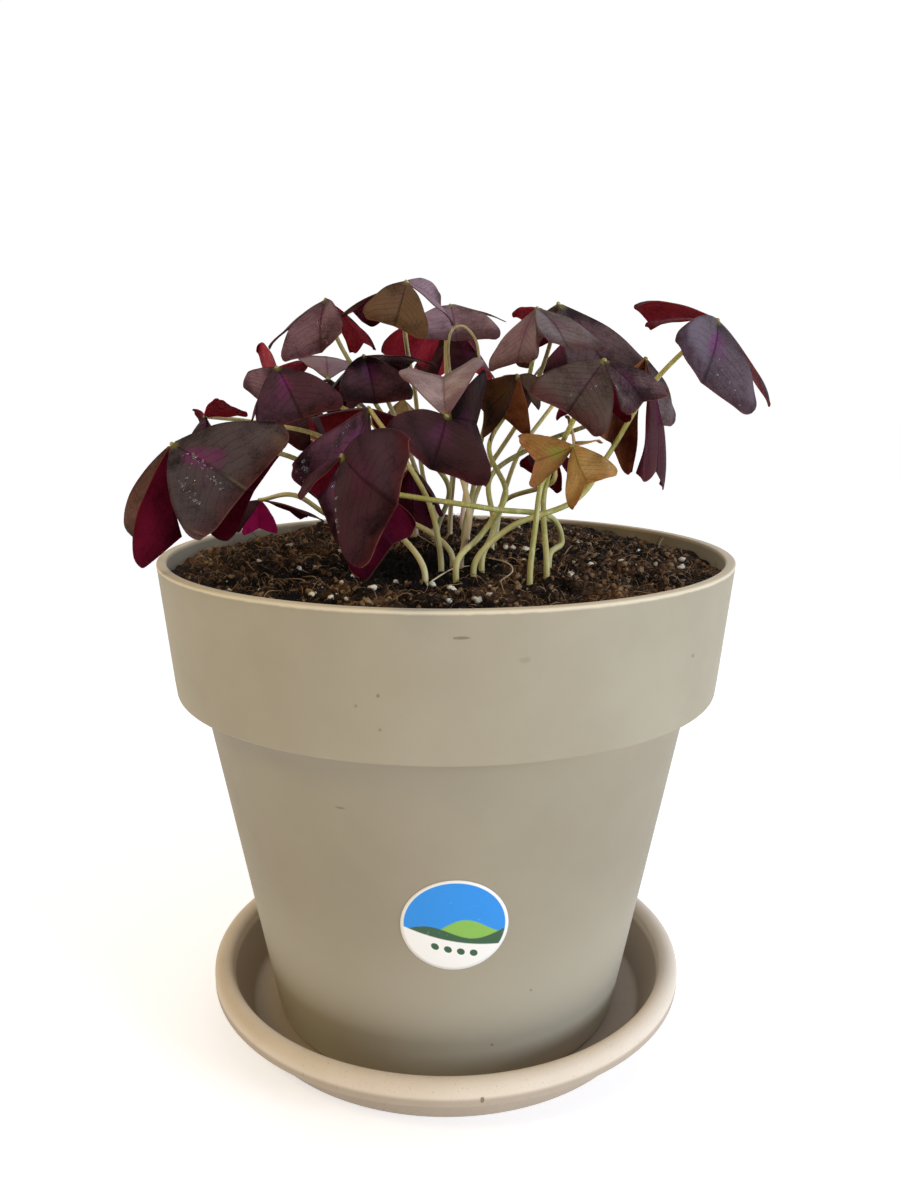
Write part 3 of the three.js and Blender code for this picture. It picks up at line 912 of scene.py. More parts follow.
def converted(source: Piece, name: str) -> Piece:
    """Turns what an object's modifiers make into a plain mesh.

    Args:
        source: the object with the modifiers, which is removed.
        name: what the new object is called.

    Returns:
        The new object.
    """
    graph = bpy.context.evaluated_depsgraph_get()
    mesh = bpy.data.meshes.new_from_object(source.evaluated_get(graph))
    old = source.data
    bpy.data.objects.remove(source)
    bpy.data.meshes.remove(old)
    mesh.name = name
    return placed(name, mesh)


class NodeModifier:
    """A Geometry Nodes tree with named inputs, put on an object."""

    def __init__(self, name: str) -> None:
        """Starts an empty tree with a geometry input and output.

        Args:
            name: the tree's name.
        """
        self.tree = bpy.data.node_groups.new(name, "GeometryNodeTree")
        self.graph = Graph(self.tree)
        for way in ("INPUT", "OUTPUT"):
            self.tree.interface.new_socket("Geometry", in_out=way,
                                           socket_type="NodeSocketGeometry")
        self.inlet = self.tree.nodes.new("NodeGroupInput")
        self.ids: dict[str, str] = {}

    def input(self, name: str, kind: str) -> Value:
        """Adds a named input.

        Args:
            name: the input's name.
            kind: its socket type, without the common beginning.

        Returns:
            Its value inside the tree.
        """
        made = self.tree.interface.new_socket(name, in_out="INPUT",
                                              socket_type="NodeSocket" + kind)
        self.ids[name] = made.identifier
        socket = next(s for s in self.inlet.outputs if s.identifier == made.identifier)
        return Value(self.graph, socket)

    @property
    def geometry(self) -> Value:
        """The geometry that comes in."""
        return Value(self.graph, self.inlet.outputs[0])

    def end(self, geometry: Value, material: Value) -> None:
        """Realizes instances, sets the material and closes the tree.

        Args:
            geometry: what the tree has made.
            material: what it is dressed in.
        """
        real = self.graph.get("GeometryNodeRealizeInstances", Geometry=geometry)
        smooth = self.graph.get("GeometryNodeSetShadeSmooth", Geometry=real)
        dressed = self.graph.get("GeometryNodeSetMaterial", Geometry=smooth,
                                 Material=material)
        self.graph.node("NodeGroupOutput", Geometry=dressed)

    def apply(self, carrier: Piece, name: str, **inputs: object) -> Piece:
        """Runs the tree on an object.

        Args:
            carrier: the object, which is removed.
            name: what the new object is called.
            inputs: a value for each named input, with _ in place of spaces.

        Returns:
            The plain mesh that the tree makes, as an object.
        """
        modifier = carrier.modifiers.new(name, "NODES")
        modifier.node_group = self.tree
        for key, value in inputs.items():
            modifier[self.ids[key.replace("_", " ")]] = value
        return converted(carrier, name)


@contextmanager
def lent_shapes(name: str, shapes: list[Skin]) -> Iterator[bpy.types.Collection]:
    """Lends a tree a collection of small shapes, which is gone after its use.

    Args:
        name: what the collection is called.
        shapes: the points and faces of each shape.

    Yields:
        The collection.
    """
    lent = bpy.data.collections.new(name)
    bpy.context.scene.collection.children.link(lent)
    for i, skin in enumerate(shapes):
        shape = Net.of(skin).build(f"{name}_shape_{i}", [])
        bpy.context.scene.collection.objects.unlink(shape)
        lent.objects.link(shape)
    yield lent
    for shape in list(lent.objects):
        bpy.data.objects.remove(shape)
    bpy.data.collections.remove(lent)


# ---- pot, saucer and label


@dataclass
class Saucer:
    """The round saucer with its rolled lip."""

    foot_radius: float = 0.0912
    floor: float = 0.0025
    lip_radius: float = 0.1008
    lip_section: float = 0.0042
    lip_height: float = 0.0203
    skirt: float = 0.0053
    wall: float = 0.0021
    bend: float = 0.003
    foot_edge: float = 0.0012
    groove: tuple[float, float, float] = (0.008, 0.0074, 0.002)
    groove_depth: float = 0.0004
    tuck: Spot = (0.0002, 0.001)
    sides: int = 160

    def build(self, finish: Plastic) -> Piece:
        """Makes the saucer.

        Args:
            finish: what it is dressed in.

        Returns:
            The piece.
        """
        roll = (self.lip_radius, self.lip_height)
        inner = self.lip_radius - self.lip_section
        hem = self.lip_height - self.skirt
        half = self.wall / 2
        out = self.lip_radius + self.lip_section
        begin, deep, end = (self.foot_radius - inset for inset in self.groove)
        edge = self.foot_edge
        profile = [
            (0.0, 0.0),
            (begin, 0.0),
            (deep, self.groove_depth),
            (end, self.groove_depth),
            *arc((self.foot_radius - edge, edge), edge, -90.0, -15.0, 4),
            *arc(roll, self.lip_section - self.wall, 190.0, 0.0, 14),
            (out - self.wall, hem + half),
            *arc((out - half, hem + half), half, 180.0, 360.0, 8),
            *arc(roll, self.lip_section, 0.0, 170.0, 18),
            (inner - self.tuck[0], self.lip_height - self.tuck[1]),
            *arc((self.foot_radius - self.wall - self.bend, self.floor + self.bend), self.bend,
                 -12.0, -90.0, 5),
            (0.0, self.floor),
        ]
        net = Net.of(turned(profile, self.sides))
        return finished(net.build("saucer_shell", [finish.material()]), "saucer_plastic", "saucer")


@dataclass
class Pot:
    """The tapered pot with its deep rim band."""

    rim_height: float = 0.206
    rim_radius: float = 0.120
    wall: float = 0.004
    band_height: float = 0.0547
    band_radius: float = 0.1145
    body_radius: float = 0.1043
    taper: float = 0.1855
    foot_height: float = 0.0028
    foot_recess: float = 0.003
    foot_ring: float = 0.006
    edge: float = 0.0012
    lip_share: float = 0.55
    seam: float = 0.0008
    body_start: float = 0.012
    band_start: float = 0.006
    band_stop: float = 0.004
    inner_step: float = 0.002
    crease: float = 50.0
    drain_radius: float = 0.005
    drain_count: int = 5
    drain_circle: float = 0.042
    drain_cut: float = 0.014
    drain_sides: int = 28
    sides: int = 200

    def body_at(self, height: float) -> float:
        """Radius of the body's outside at a height."""
        return self.body_radius - self.taper * (self.band_foot - height)

    def band_at(self, height: float) -> float:
        """Radius of the band's outside at a height."""
        lean = (self.rim_radius - self.band_radius) / self.band_height
        return self.rim_radius - lean * (self.rim_height - height)

    @property
    def band_foot(self) -> float:
        """Height of the band's lower edge."""
        return self.rim_height - self.band_height

    @property
    def floor(self) -> float:
        """Height of the floor's upper side."""
        return self.foot_height + self.foot_recess + self.wall

    def build(self, finish: Plastic) -> Piece:
        """Makes the pot, with its drain holes cut through the floor.

        Args:
            finish: what it is dressed in.

        Returns:
            The piece.
        """
        foot = self.body_at(self.foot_height)
        low, high = self.band_foot, self.rim_height
        lip, seam = self.edge * self.lip_share, self.seam
        profile = [
            (0.0, self.foot_height + self.foot_recess),
            (foot - self.foot_ring, self.foot_height + self.foot_recess),
            (foot - self.foot_ring, self.foot_height),
            *arc((foot - self.edge, self.foot_height + self.edge), self.edge, -90.0, 0.0, 4),
            *[(self.body_at(z), z) for z in np.linspace(self.body_start, low - self.edge, 8)],
            *arc((self.body_at(low) + seam, low - seam), seam, 180.0, 90.0, 4),
            *arc((self.band_radius - self.edge, low + self.edge), self.edge, -90.0, 0.0, 6),
            *[(self.band_at(z), z)
              for z in np.linspace(low + self.band_start, high - self.band_stop, 5)],
            *arc((self.rim_radius - lip, high - lip), lip, 0.0, 90.0, 5),
            *arc((self.rim_radius - self.wall + lip, high - lip), lip, 90.0, 180.0, 5),
            (self.band_at(low + self.band_start) - self.wall, low + self.wall + self.inner_step),
            (self.body_at(low) - self.wall, low - self.wall),
            (self.body_at(self.floor) - self.wall, self.floor),
            (0.0, self.floor),
        ]
        shell = Net.of(turned(profile, self.sides)).build("pot_shell", [finish.material()])
        cutter = self._drain_cutter()
        cut = shell.modifiers.new("drains", "BOOLEAN")
        cut.object = cutter
        cut.solver = "EXACT"
        piece = converted(shell, "pot_shell")
        bpy.data.objects.remove(cutter)
        piece.data.set_sharp_from_angle(angle=math.radians(self.crease))
        return finished(piece, "pot_plastic", "pot")

    def _drain_cutter(self) -> Piece:
        """Makes the round pegs that cut the drain holes.

        Returns:
            One object of all the pegs.
        """
        net = Net()
        reach, top = self.drain_radius, self.drain_cut
        points, faces = turned([(0.0, 0.0), (reach, 0.0), (reach, top), (0.0, top)],
                               self.drain_sides)
        for angle in np.linspace(0.0, 2.0 * math.pi, self.drain_count, endpoint=False):
            centre = (self.drain_circle * math.cos(angle), self.drain_circle * math.sin(angle), 0.0)
            net.add(points + np.array(centre), faces)
        return net.build("drain_pegs", [])


@dataclass
class Label:
    """The round label that is stuck to the front of the pot."""

    radius: float = 0.020
    height: float = 0.081
    turn: float = 2.0
    paper: float = 0.00025
    glue: float = 0.00003
    rings: int = 14
    sides: int = 64

    def build(self, pot: Pot, finish: LabelPrint) -> Piece:
        """Makes the label as a thin disc that follows the pot's body.

        Args:
            pot: what it is stuck to.
            finish: its print.

        Returns:
            The piece.
        """
        angles = np.linspace(0.0, 2.0 * math.pi, self.sides, endpoint=False)
        flat = [(0.0, 0.0)]
        for ring in range(1, self.rings + 1):
            reach = ring / self.rings
            flat += [(reach * math.cos(a), reach * math.sin(a)) for a in angles]
        disc = np.array(flat)
        faces: Faces = []
        for i in range(self.sides):
            j = (i + 1) % self.sides
            faces.append((0, 1 + i, 1 + j))
            for ring in range(self.rings - 1):
                low, high = 1 + ring * self.sides, 1 + (ring + 1) * self.sides
                faces.append((low + i, high + i, high + j, low + j))
        size = len(disc)
        skins = [self._bent(disc, pot, rise) for rise in (self.paper, self.glue)]
        back = [tuple(size + i for i in reversed(face)) for face in faces]
        start = 1 + (self.rings - 1) * self.sides
        brim = [
            (start + i, size + start + i, size + start + (i + 1) % self.sides,
             start + (i + 1) % self.sides)
            for i in range(self.sides)
        ]
        net = Net()
        uv = np.tile(disc * 0.5 + 0.5, (2, 1))
        net.add(np.concatenate(skins), faces + back + brim, uv=uv)
        return finished(net.build("round_label", [finish.material()]), "label", "label")

    def _bent(self, disc: Array, pot: Pot, rise: float) -> Array:
        """Lays the flat disc on the pot's cone.

        Args:
            disc: a row of x and y for each point, of a disc with a radius of 1.
            pot: what carries it.
            rise: how far it lies above the cone.

        Returns:
            The points in the part's own frame.
        """
        height = self.height + self.radius * disc[:, 1]
        cone = np.array([pot.body_at(z) for z in height])
        angle = np.radians(self.turn) + np.arcsin(self.radius * disc[:, 0] / cone)
        cone = cone + rise
        return np.stack([cone * np.sin(angle), -cone * np.cos(angle), height], 1)


# ---- the plant's own rules


@dataclass(frozen=True)
class Leaflet:
    """One third of a leaf: directions in degrees, length in millimetres, width as a share."""

    heading: float
    droop: float
    roll: float
    fold: float
    length: float
    width: float


@dataclass(frozen=True)
class Leaf:
    """A leaf: its hub, the foot and the way of its stem in millimetres, and its leaflets."""

    name: str
    hub: Point
    root: Spot
    via: tuple[Point, ...]
    leaflets: tuple[tuple[float, ...], ...]
    tones: tuple[LeafTone, ...]
    stem: StemTone = StemTone.GOLD


LEAVES = (
    Leaf("01", (-102, -50, 254), (-8, -65), ((-18, -48, 220), (-41, -26, 236), (-63, -42, 250)),
         ((-38, 20, 50, -17, 46, 0.58), (-87, 104, 72, -50, 40, 0.68), (47, 29, -76, -16, 45, 0.56)),
         (LeafTone.CHARCOAL, LeafTone.BRONZE, LeafTone.CHARCOAL)),
    Leaf("02", (-104, 15, 262), (-16, 44), ((-31, 54, 229), (-57, 50, 251), (-87, 48, 258)),
         ((-27, -18, -24, 4, 16, 0.57), (114, 18, 101, 23, 13, 0.49), (-75, 15, -10, 50, 24, 0.55)),
         (LeafTone.WINE, LeafTone.PLUM, LeafTone.WINE)),
    Leaf("03", (-66, -25, 282), (-4, 20), ((1, 6, 233), (-19, -11, 254), (-51, -12, 271)),
         ((-63, 34, 20, -16, 36, 0.47), (-52, 138, 102, -28, 21, 0.59), (105, 14, 25, -54, 36, 0.53)),
         (LeafTone.PLUM, LeafTone.MAUVE, LeafTone.WINE)),
    Leaf("04", (-50, 8, 310), (-10, 55), ((-20, 38, 246), (-33, 14, 272), (-46, 10, 295)),
         ((-88, 41, 31, -30, 36, 0.47), (135, 23, 0, 31, 31, 0.43), (29, 45, -3, 8, 26, 0.43)),
         (LeafTone.MAUVE, LeafTone.PLUM, LeafTone.CRIMSON)),
    Leaf("05", (-54, 45, 278), (-10, 76), ((-22, 69, 236), (-39, 64, 262)),
         ((98, -23, 6, 11, 29, 0.44), (-40, 30, 0, 25, 24, 0.5), (-150, 30, 0, 20, 24, 0.5)),
         (LeafTone.ROSE, LeafTone.PLUM, LeafTone.PLUM), StemTone.BLUSH),
    Leaf("06", (-34, 1, 287), (-6, 34), ((-14, 24, 240), (-24, 2, 268)),
         ((-77, 33, 1, -24, 37, 0.42), (38, 4, -4, 7, 28, 0.49), (165, 45, 0, 20, 30, 0.5)),
         (LeafTone.PLUM, LeafTone.DUSK, LeafTone.DUSK), StemTone.BLUSH),
    Leaf("07", (-34, -97, 253), (41, -35),
         ((47, -23, 213), (43, -29, 223), (15, -57, 231), (-33, -54, 239)),
         ((-60, 17, 76, -22, 44, 0.53), (33, 59, -104, -20, 39, 0.45), (158, 30, 0, 40, 18, 0.45)),
         (LeafTone.DUSK, LeafTone.DUSK, LeafTone.PLUM), StemTone.FRESH),
    # The upper leaflet takes a painted sheen, and the two that hang below it take painted shade.
    Leaf("08", (0, -77, 265), (6, -38), ((9, -44, 226), (5, -35, 244), (-1, -42, 257)),
         ((92, -22, -8, -18, 39, 0.43), (68, 7, 84, -13, 33, 0.62), (-99, 25, -31, -24, 39, 0.51)),
         (LeafTone.SILVER, LeafTone.NIGHT, LeafTone.NIGHT), StemTone.BLUSH),
    Leaf("09", (-16, -5, 316), (-4, 62), ((-11, 61, 232), (-14, 53, 268), (-17, 0, 300)),
         ((-100, 38, -27, -12, 32, 0.41), (42, 24, 43, -7, 22, 0.6), (149, 22, -1, 14, 31, 0.49)),
         (LeafTone.OLIVE, LeafTone.ROSE, LeafTone.OLIVE)),
    Leaf("10", (2, 57, 311), (2, 50), ((3, 56, 236), (1, 52, 268), (0, 48, 293)),
         ((-86, 29, -1, -16, 38, 0.53), (78, -1, -45, 60, 37, 0.55), (156, 50, 16, -14, 33, 0.58)),
         (LeafTone.ROSE, LeafTone.ROSE, LeafTone.CRIMSON), StemTone.BLUSH),
    Leaf("11", (36, -15, 305), (4, -62),
         ((14, -40, 219), (23, -38, 233), (18, -8, 252), (34, 3, 277)),
         ((-131, 60, 16, -14, 26, 0.59), (-68, 32, -10, -17, 32, 0.48), (98, 17, 8, -25, 17, 0.44)),
         (LeafTone.ROSE, LeafTone.ASH, LeafTone.CRIMSON), StemTone.FRESH),
    Leaf("12", (49, 30, 310), (10, 28), ((16, 34, 232), (34, 32, 262), (45, 31, 290)),
         ((-43, 49, 11, -7, 48, 0.54), (80, 20, 0, 20, 38, 0.5), (-160, 40, 0, 20, 34, 0.5)),
         (LeafTone.SMOKE, LeafTone.SLATE, LeafTone.SLATE)),
    Leaf("13", (82, -2, 286), (14, -44),
         ((19, -30, 220), (18, -14, 238), (38, 6, 250), (74, 22, 264)),
         ((-139, 59, 72, 8, 42, 0.52), (-66, 77, -46, 0, 50, 0.6), (18, 80, 47, -17, 29, 0.59)),
         (LeafTone.EMBER, LeafTone.WINE, LeafTone.ASH), StemTone.FRESH),
    Leaf("14", (55, -70, 284), (38, -54), ((38, -39, 235), (46, -66, 265)),
         ((-125, 33, -39, -14, 34, 0.43), (-31, 43, 21, -8, 22, 0.58), (89, 27, 3, 29, 31, 0.51)),
         (LeafTone.SLATE, LeafTone.SMOKE, LeafTone.PLUM), StemTone.FRESH),
    Leaf("15", (28, -22, 279), (8, 16), ((12, 17, 231), (15, 16, 250), (22, -8, 277)),
         ((-128, 31, -94, 2, 28, 0.38), (65, 2, 10, 78, 26, 0.46), (105, 40, -10, 46, 27, 0.47)),
         (LeafTone.EMBER, LeafTone.OLIVE, LeafTone.EMBER)),
    Leaf("16", (46, -62, 254), (31, -64), ((33, -59, 224), (36, -57, 242)),
         ((-148, 15, -86, 23, 19, 0.54), (-79, 36, 52, 12, 22, 0.5), (83, 0, 36, -40, 22, 0.51)),
         (LeafTone.TAN, LeafTone.STRAW, LeafTone.STRAW), StemTone.FRESH),
    Leaf("17", (42, -22, 250), (20, 4), ((24, 1, 226), (43, -27, 239)),
         ((105, 43, 48, -7, 19, 0.54), (-155, 10, 0, 30, 12, 0.5), (-15, 30, 0, 30, 16, 0.5)),
         (LeafTone.PLUM, LeafTone.PLUM, LeafTone.WINE)),
    Leaf("18", (105, -25, 300), (11, -54),
         ((24, -52, 223), (49, -48, 233), (64, -29, 249), (80, -34, 277)),
         ((158, 0, 15, -13, 29, 0.52), (-113, 37, -53, -23, 42, 0.54), (55, 28, 44, 3, 40, 0.55)),
         (LeafTone.VIOLET,) * 3, StemTone.FRESH),
    Leaf("19", (-80, 5, 227), (2, -28), ((-17, -16, 221), (-45, -17, 222), (-59, -26, 232)),
         ((105, 62, -1, 13, 16, 0.47), (25, 19, -4, 4, 25, 0.6), (-130, 10, 0, 30, 22, 0.5)),
         (LeafTone.FUCHSIA, LeafTone.PLUM, LeafTone.CRIMSON)),
    Leaf("20", (-15, 8, 241), (-20, 28), ((-22, 32, 235),),
         ((-85, 75, 0, 30, 25, 0.5), (150, 50, 0, 30, 22, 0.5), (30, 50, 0, 30, 22, 0.5)),
         (LeafTone.WINE,) * 3, StemTone.BLUSH),
    Leaf("21", (65, 85, 301), (24, 46), ((33, 52, 241), (60, 86, 277)),
         ((90, 40, 0, 25, 34, 0.58), (-30, 40, 0, 25, 32, 0.58), (210, 40, 0, 25, 32, 0.58)),
         (LeafTone.PLUM, LeafTone.SLATE, LeafTone.CRIMSON)),
    Leaf("22", (3, 98, 304), (8, 70), ((11, 83, 240), (6, 96, 280)),
         ((80, 35, 0, 25, 34, 0.58), (-40, 45, 0, 25, 30, 0.58), (200, 45, 0, 25, 30, 0.58)),
         (LeafTone.CRIMSON, LeafTone.CRIMSON, LeafTone.CRIMSON), StemTone.BLUSH),
    Leaf("23", (-71, 75, 270), (-22, 64), ((-36, 72, 236), (-70, 76, 253)),
         ((120, 35, 0, 25, 32, 0.58), (0, 45, 0, 25, 28, 0.58), (240, 45, 0, 25, 28, 0.58)),
         (LeafTone.VIOLET, LeafTone.PLUM, LeafTone.CRIMSON), StemTone.BLUSH),
    Leaf("24", (-29, -44, 267), (-2, -40), ((-6, -44, 230), (-16, -55, 250)),
         ((-127, 48, -102, -9, 46, 0.57), (147, 10, 17, 23, 26, 0.38), (55, 19, 6, 9, 28, 0.5)),
         (LeafTone.ORCHID, LeafTone.VIOLET, LeafTone.PLUM)),
    Leaf("25", (-19, 30, 269), (-14, 36), ((-18, 34, 240),),
         ((-75, 30, -10, 30, 12, 0.55), (60, 40, 0, 30, 10, 0.5), (170, 40, 0, 30, 10, 0.5)),
         (LeafTone.STRAW, LeafTone.TAN, LeafTone.TAN), StemTone.BLUSH),
)


@dataclass
class Bed:
    """The soil's own rule: its height above the foot at any place inside the pot."""

    edge_depth: float = 0.0065
    mound: float = 0.006
    heap: float = 0.005
    heap_start: float = 0.45
    hollow: float = 0.004
    hollow_place: Spot = (-0.018, -0.036)
    hollow_radius: float = 0.034
    relief: float = 0.0011
    lump: float = 0.007
    span: float = 0.116

    @staticmethod
    def ease(value: float, low: float, high: float) -> float:
        """Rises smoothly from 0 at low to 1 at high."""
        share = min(1.0, max(0.0, (value - low) / (high - low)))
        return share * share * (3.0 - 2.0 * share)

    def height(self, x: float, y: float, pot: Pot) -> float:
        """Height of the mound, with its heap at the back, its hollow and its broad lumps.

        Args:
            x: place to the right, in metres.
            y: place to the back, in metres.
            pot: what holds the soil.

        Returns:
            The height above the ground.
        """
        reach = math.hypot(x, y) / self.span
        level = pot.rim_height - self.edge_depth + self.mound * (1.0 - reach * reach)
        level += self.heap * self.ease(y / self.span, self.heap_start, 1.0)
        away = math.hypot(x - self.hollow_place[0], y - self.hollow_place[1])
        level -= self.hollow * (1.0 - self.ease(away / self.hollow_radius, 0.0, 1.0))
        across = math.sin(x / self.lump + 1.3) * math.cos(y / (self.lump + 2 * MM))
        along = math.sin((x + 2.0 * y) / (self.lump - 2 * MM))
        return level + self.relief * (across + 0.6 * along)


# ---- leaves


@dataclass
class Blade:
    """The rule that shapes every leaflet: a folded, notched blade."""

    notch: float = 0.93
    rise: float = 0.18
    shoulder: float = 0.05
    side_bulge: float = 0.6
    flare: float = 1.06
    corner_across: float = 0.37
    corner_along: float = 0.22
    arch: float = 0.05
    curl: float = 0.07
    stub: float = 0.6 * MM
    thickness: float = 0.5 * MM
    brim: float = 0.22 * MM
    ripple: float = 0.5 * MM
    start: float = 0.02
    rows: int = 20
    last_row: float = 0.975
    edge_rows: Spot = (0.992, 1.0)
    columns: int = 16
    last_column: float = 0.97
    edge_columns: Spot = (0.99, 1.0)
    crowding: float = 1.2
    corner_pull: float = 0.45
    hub_radius: float = 0.95 * MM
    hub_relief: float = 0.16

    def _frame(self, leaflet: Leaflet) -> tuple[Array, Array, Array, Array]:
        """Works out a leaflet's own directions.

        Args:
            leaflet: its angles.

        Returns:
            The midrib's direction, up, and the directions of the two halves.
        """
        heading, droop = math.radians(leaflet.heading), math.radians(leaflet.droop)
        roll, fold = math.radians(leaflet.roll), math.radians(leaflet.fold)
        midrib = np.array([math.cos(heading) * math.cos(droop),
                           math.sin(heading) * math.cos(droop), -math.sin(droop)])
        level = np.array([-math.sin(heading), math.cos(heading), 0.0])
        side = level * math.cos(roll) + np.cross(midrib, level) * math.sin(roll)
        up = np.cross(midrib, side)
        left = side * math.cos(fold) - up * math.sin(fold)
        right = -side * math.cos(fold) - up * math.sin(fold)
        return midrib, up, left, right

    def _rounded(self, across: Array, along: Array) -> tuple[Array, Array]:
        """Pulls places inwards near the outer corners.

        Args:
            across: places across, as a share of the half's width.
            along: places along, as a share of the length.

        Returns:
            The pulled places, across and along.
        """
        a = np.maximum(0.0, (across - 1.0) / self.corner_across + 1.0)
        b = np.maximum(0.0, (along - 1.0) / self.corner_along + 1.0)
        pull = self.corner_pull
        return (across - self.corner_across * a * (1.0 - np.sqrt(1.0 - pull * b * b)),
                along - self.corner_along * b * (1.0 - np.sqrt(1.0 - pull * a * a)))

    def middle(self, hub: Array, leaflet: Leaflet, share: Array, row: Array,
               phase: float) -> Array:
        """Places points on the blade's middle surface.

        Args:
            hub: centre of the leaf's hub.
            leaflet: the leaflet's directions and size.
            share: place across, from -1 on the right edge to 1 on the left edge.
            row: place along, from 0 at the hub to 1 at the outer edge.
            phase: shifts the ripples of this leaflet.

        Returns:
            One point for each pair of share and row.
        """
        midrib, up, left, right = self._frame(leaflet)
        length = leaflet.length * MM
        reach = np.abs(share)
        swing, row = self._rounded(np.sin(0.5 * math.pi * reach), row)
        edge = self.notch + self.rise * swing - self.shoulder * reach**4
        along = length * row * edge
        spread = self.flare * leaflet.width * row * (1.0 + self.side_bulge * (1.0 - row))
        aside = (self.stub + length * spread) * swing
        lift = length * (self.arch * np.sin(math.pi * row) - self.curl * (reach * row) ** 2)
        wave = np.sin(9.0 * row + 4.0 * share + phase) + np.sin(13.0 * share * row + 2.0 * phase)
        lift = lift + self.ripple * row * reach * wave
        half = np.where((share >= 0.0)[:, None], left, right)
        return hub + along[:, None] * midrib + aside[:, None] * half + lift[:, None] * up

    @staticmethod
    def phase(leaf: Leaf, index: int) -> float:
        """Returns the number that makes a leaflet's ripples its own."""
        return 1.7 * int(leaf.name) + 2.3 * index

    def _normals(self, hub: Array, leaflet: Leaflet, share: Array, row: Array,
                 phase: float, step: float = 0.01) -> Array:
        """Works out the upper side's normals at places on the middle surface.

        Args:
            hub: centre of the leaf's hub.
            leaflet: the leaflet's directions and size.
            share: place across, from -1 on the right edge to 1 on the left edge.
            row: place along, from 0 at the hub to 1 at the outer edge.
            phase: shifts the ripples of this leaflet.
            step: how far apart the places lie that give a slope.

        Returns:
            One unit vector for each place.
        """
        middle = self.middle(hub, leaflet, share, row, phase)
        ahead = middle - self.middle(hub, leaflet, share, row - step, phase)
        shifted = np.where(share > 0.0, share - step, share + step)
        sideways = self.middle(hub, leaflet, shifted, row, phase) - middle
        sideways *= np.where(share > 0.0, -1.0, 1.0)[:, None]
        normal = np.cross(ahead, sideways)
        normal /= np.linalg.norm(normal, axis=1)[:, None]
        normal[share == 0.0] = self._frame(leaflet)[1]
        return normal

    def outside(self, leaf: Leaf, index: int, share: Array,
                row: Array) -> tuple[Array, Array]:
        """Finds places on the upper side of a leaflet.

        Args:
            leaf: the leaf.
            index: which of its leaflets.
            share: places across, as for middle.
            row: places along, as for middle.

        Returns:
            The points and the normals there.
        """
        hub, leaflet = np.array(leaf.hub, float) * MM, Leaflet(*leaf.leaflets[index])
        phase = self.phase(leaf, index)
        normal = self._normals(hub, leaflet, share, row, phase)
        middle = self.middle(hub, leaflet, share, row, phase)
        return middle + normal * 0.5 * self.thickness, normal

    def add_leaflet(self, net: Net, hub: Array, leaflet: Leaflet, phase: float,
                    mood: float, look: int) -> None:
        """Adds one leaflet to a net, as a closed blade that thins towards its edge.

        Args:
            net: what it is added to.
            hub: centre of the leaf's hub.
            leaflet: the leaflet's directions and size.
            phase: shifts the ripples of this leaflet.
            mood: the number that makes its colours its own, 0 to 1.
            look: its material index.
        """
        near = np.linspace(self.start, self.last_row, self.rows)
        rows = np.append(near, self.edge_rows)
        spread = np.linspace(0.0, 1.0, self.columns) ** self.crowding * self.last_column
        spread = np.append(spread, self.edge_columns)
        shares = np.concatenate([-spread[:0:-1], spread])
        wide, tall = len(shares), len(rows)
        share, row = (grid.ravel() for grid in np.meshgrid(shares, rows))
        middle = self.middle(hub, leaflet, share, row, phase)
        normal = self._normals(hub, leaflet, share, row, phase)
        rim = np.clip(np.maximum(np.abs(share), row), 0.0, 1.0)
        half = 0.5 * (self.brim + (self.thickness - self.brim) * np.sqrt(1.0 - rim**6))
        top = middle + normal * half[:, None]
        low = middle - normal * half[:, None]
        size = wide * tall
        faces: Faces = []
        for r in range(tall - 1):
            for c in range(wide - 1):
                a = r * wide + c
                quad = (a, a + wide, a + wide + 1, a + 1)
                faces.append(quad)
                faces.append(tuple(size + i for i in reversed(quad)))
        ring = [*range(wide), *range(2 * wide - 1, size, wide),
                *range(size - 2, size - wide - 1, -1), *range(size - 2 * wide, 0, -wide)]
        for i, a in enumerate(ring):
            b = ring[(i + 1) % len(ring)]
            faces.append((a, b, size + b, size + a))
        uv = np.tile(np.stack([0.5 + 0.5 * share, row], 1), (2, 1))
        side = np.concatenate([np.ones(size), np.zeros(size)])
        net.add(np.concatenate([top, low]), faces, look, uv, side=side,
                mood=np.full(2 * size, mood))

    def add_hub(self, net: Net, hub: Array, look: int) -> None:
        """Adds the small knob that the leaflets and the stem grow from.

        Args:
            net: what it is added to.
            hub: its centre.
            look: its material index.
        """
        points, faces = ball(self.hub_radius, 9, 12)
        rough = np.array([1.0 + self.hub_relief * noise.noise(Vector(p) * 900.0) for p in points])
        net.add(points * rough[:, None] + hub, faces, look, mood=np.zeros(len(points)))

    def build(self, leaf: Leaf, skins: dict[LeafTone, Material],
              knob: Material) -> Piece:
        """Makes one leaf.

        Args:
            leaf: the leaf.
            skins: the material of each tone.
            knob: the hub's material.

        Returns:
            The piece.
        """
        net = Net()
        hub = np.array(leaf.hub, float) * MM
        seed = int(leaf.name)
        tones = list(dict.fromkeys(leaf.tones))
        for i, (numbers, tone) in enumerate(zip(leaf.leaflets, leaf.tones)):
            mood = 0.5 + 0.5 * math.sin(2.9 * seed + 1.9 * i)
            self.add_leaflet(net, hub, Leaflet(*numbers), self.phase(leaf, i), mood,
                             tones.index(tone))
        self.add_hub(net, hub, len(tones))
        dress = [*(skins[tone] for tone in tones), knob]
        piece = net.build(f"blades_{leaf.name}", dress, "blade")
        young = LeafTone.TAN in tones or LeafTone.STRAW in tones
        slot = "leaf_young" if young else "leaf_purple"
        return finished(piece, slot, f"leaf_{leaf.name}")


@dataclass(frozen=True)
class Dew:
    """A streak of drops on one leaflet, between two places given as (across, along)."""

    leaf: str
    leaflet: int
    start: Spot
    stop: Spot
    count: int
    spread: float
    largest: float


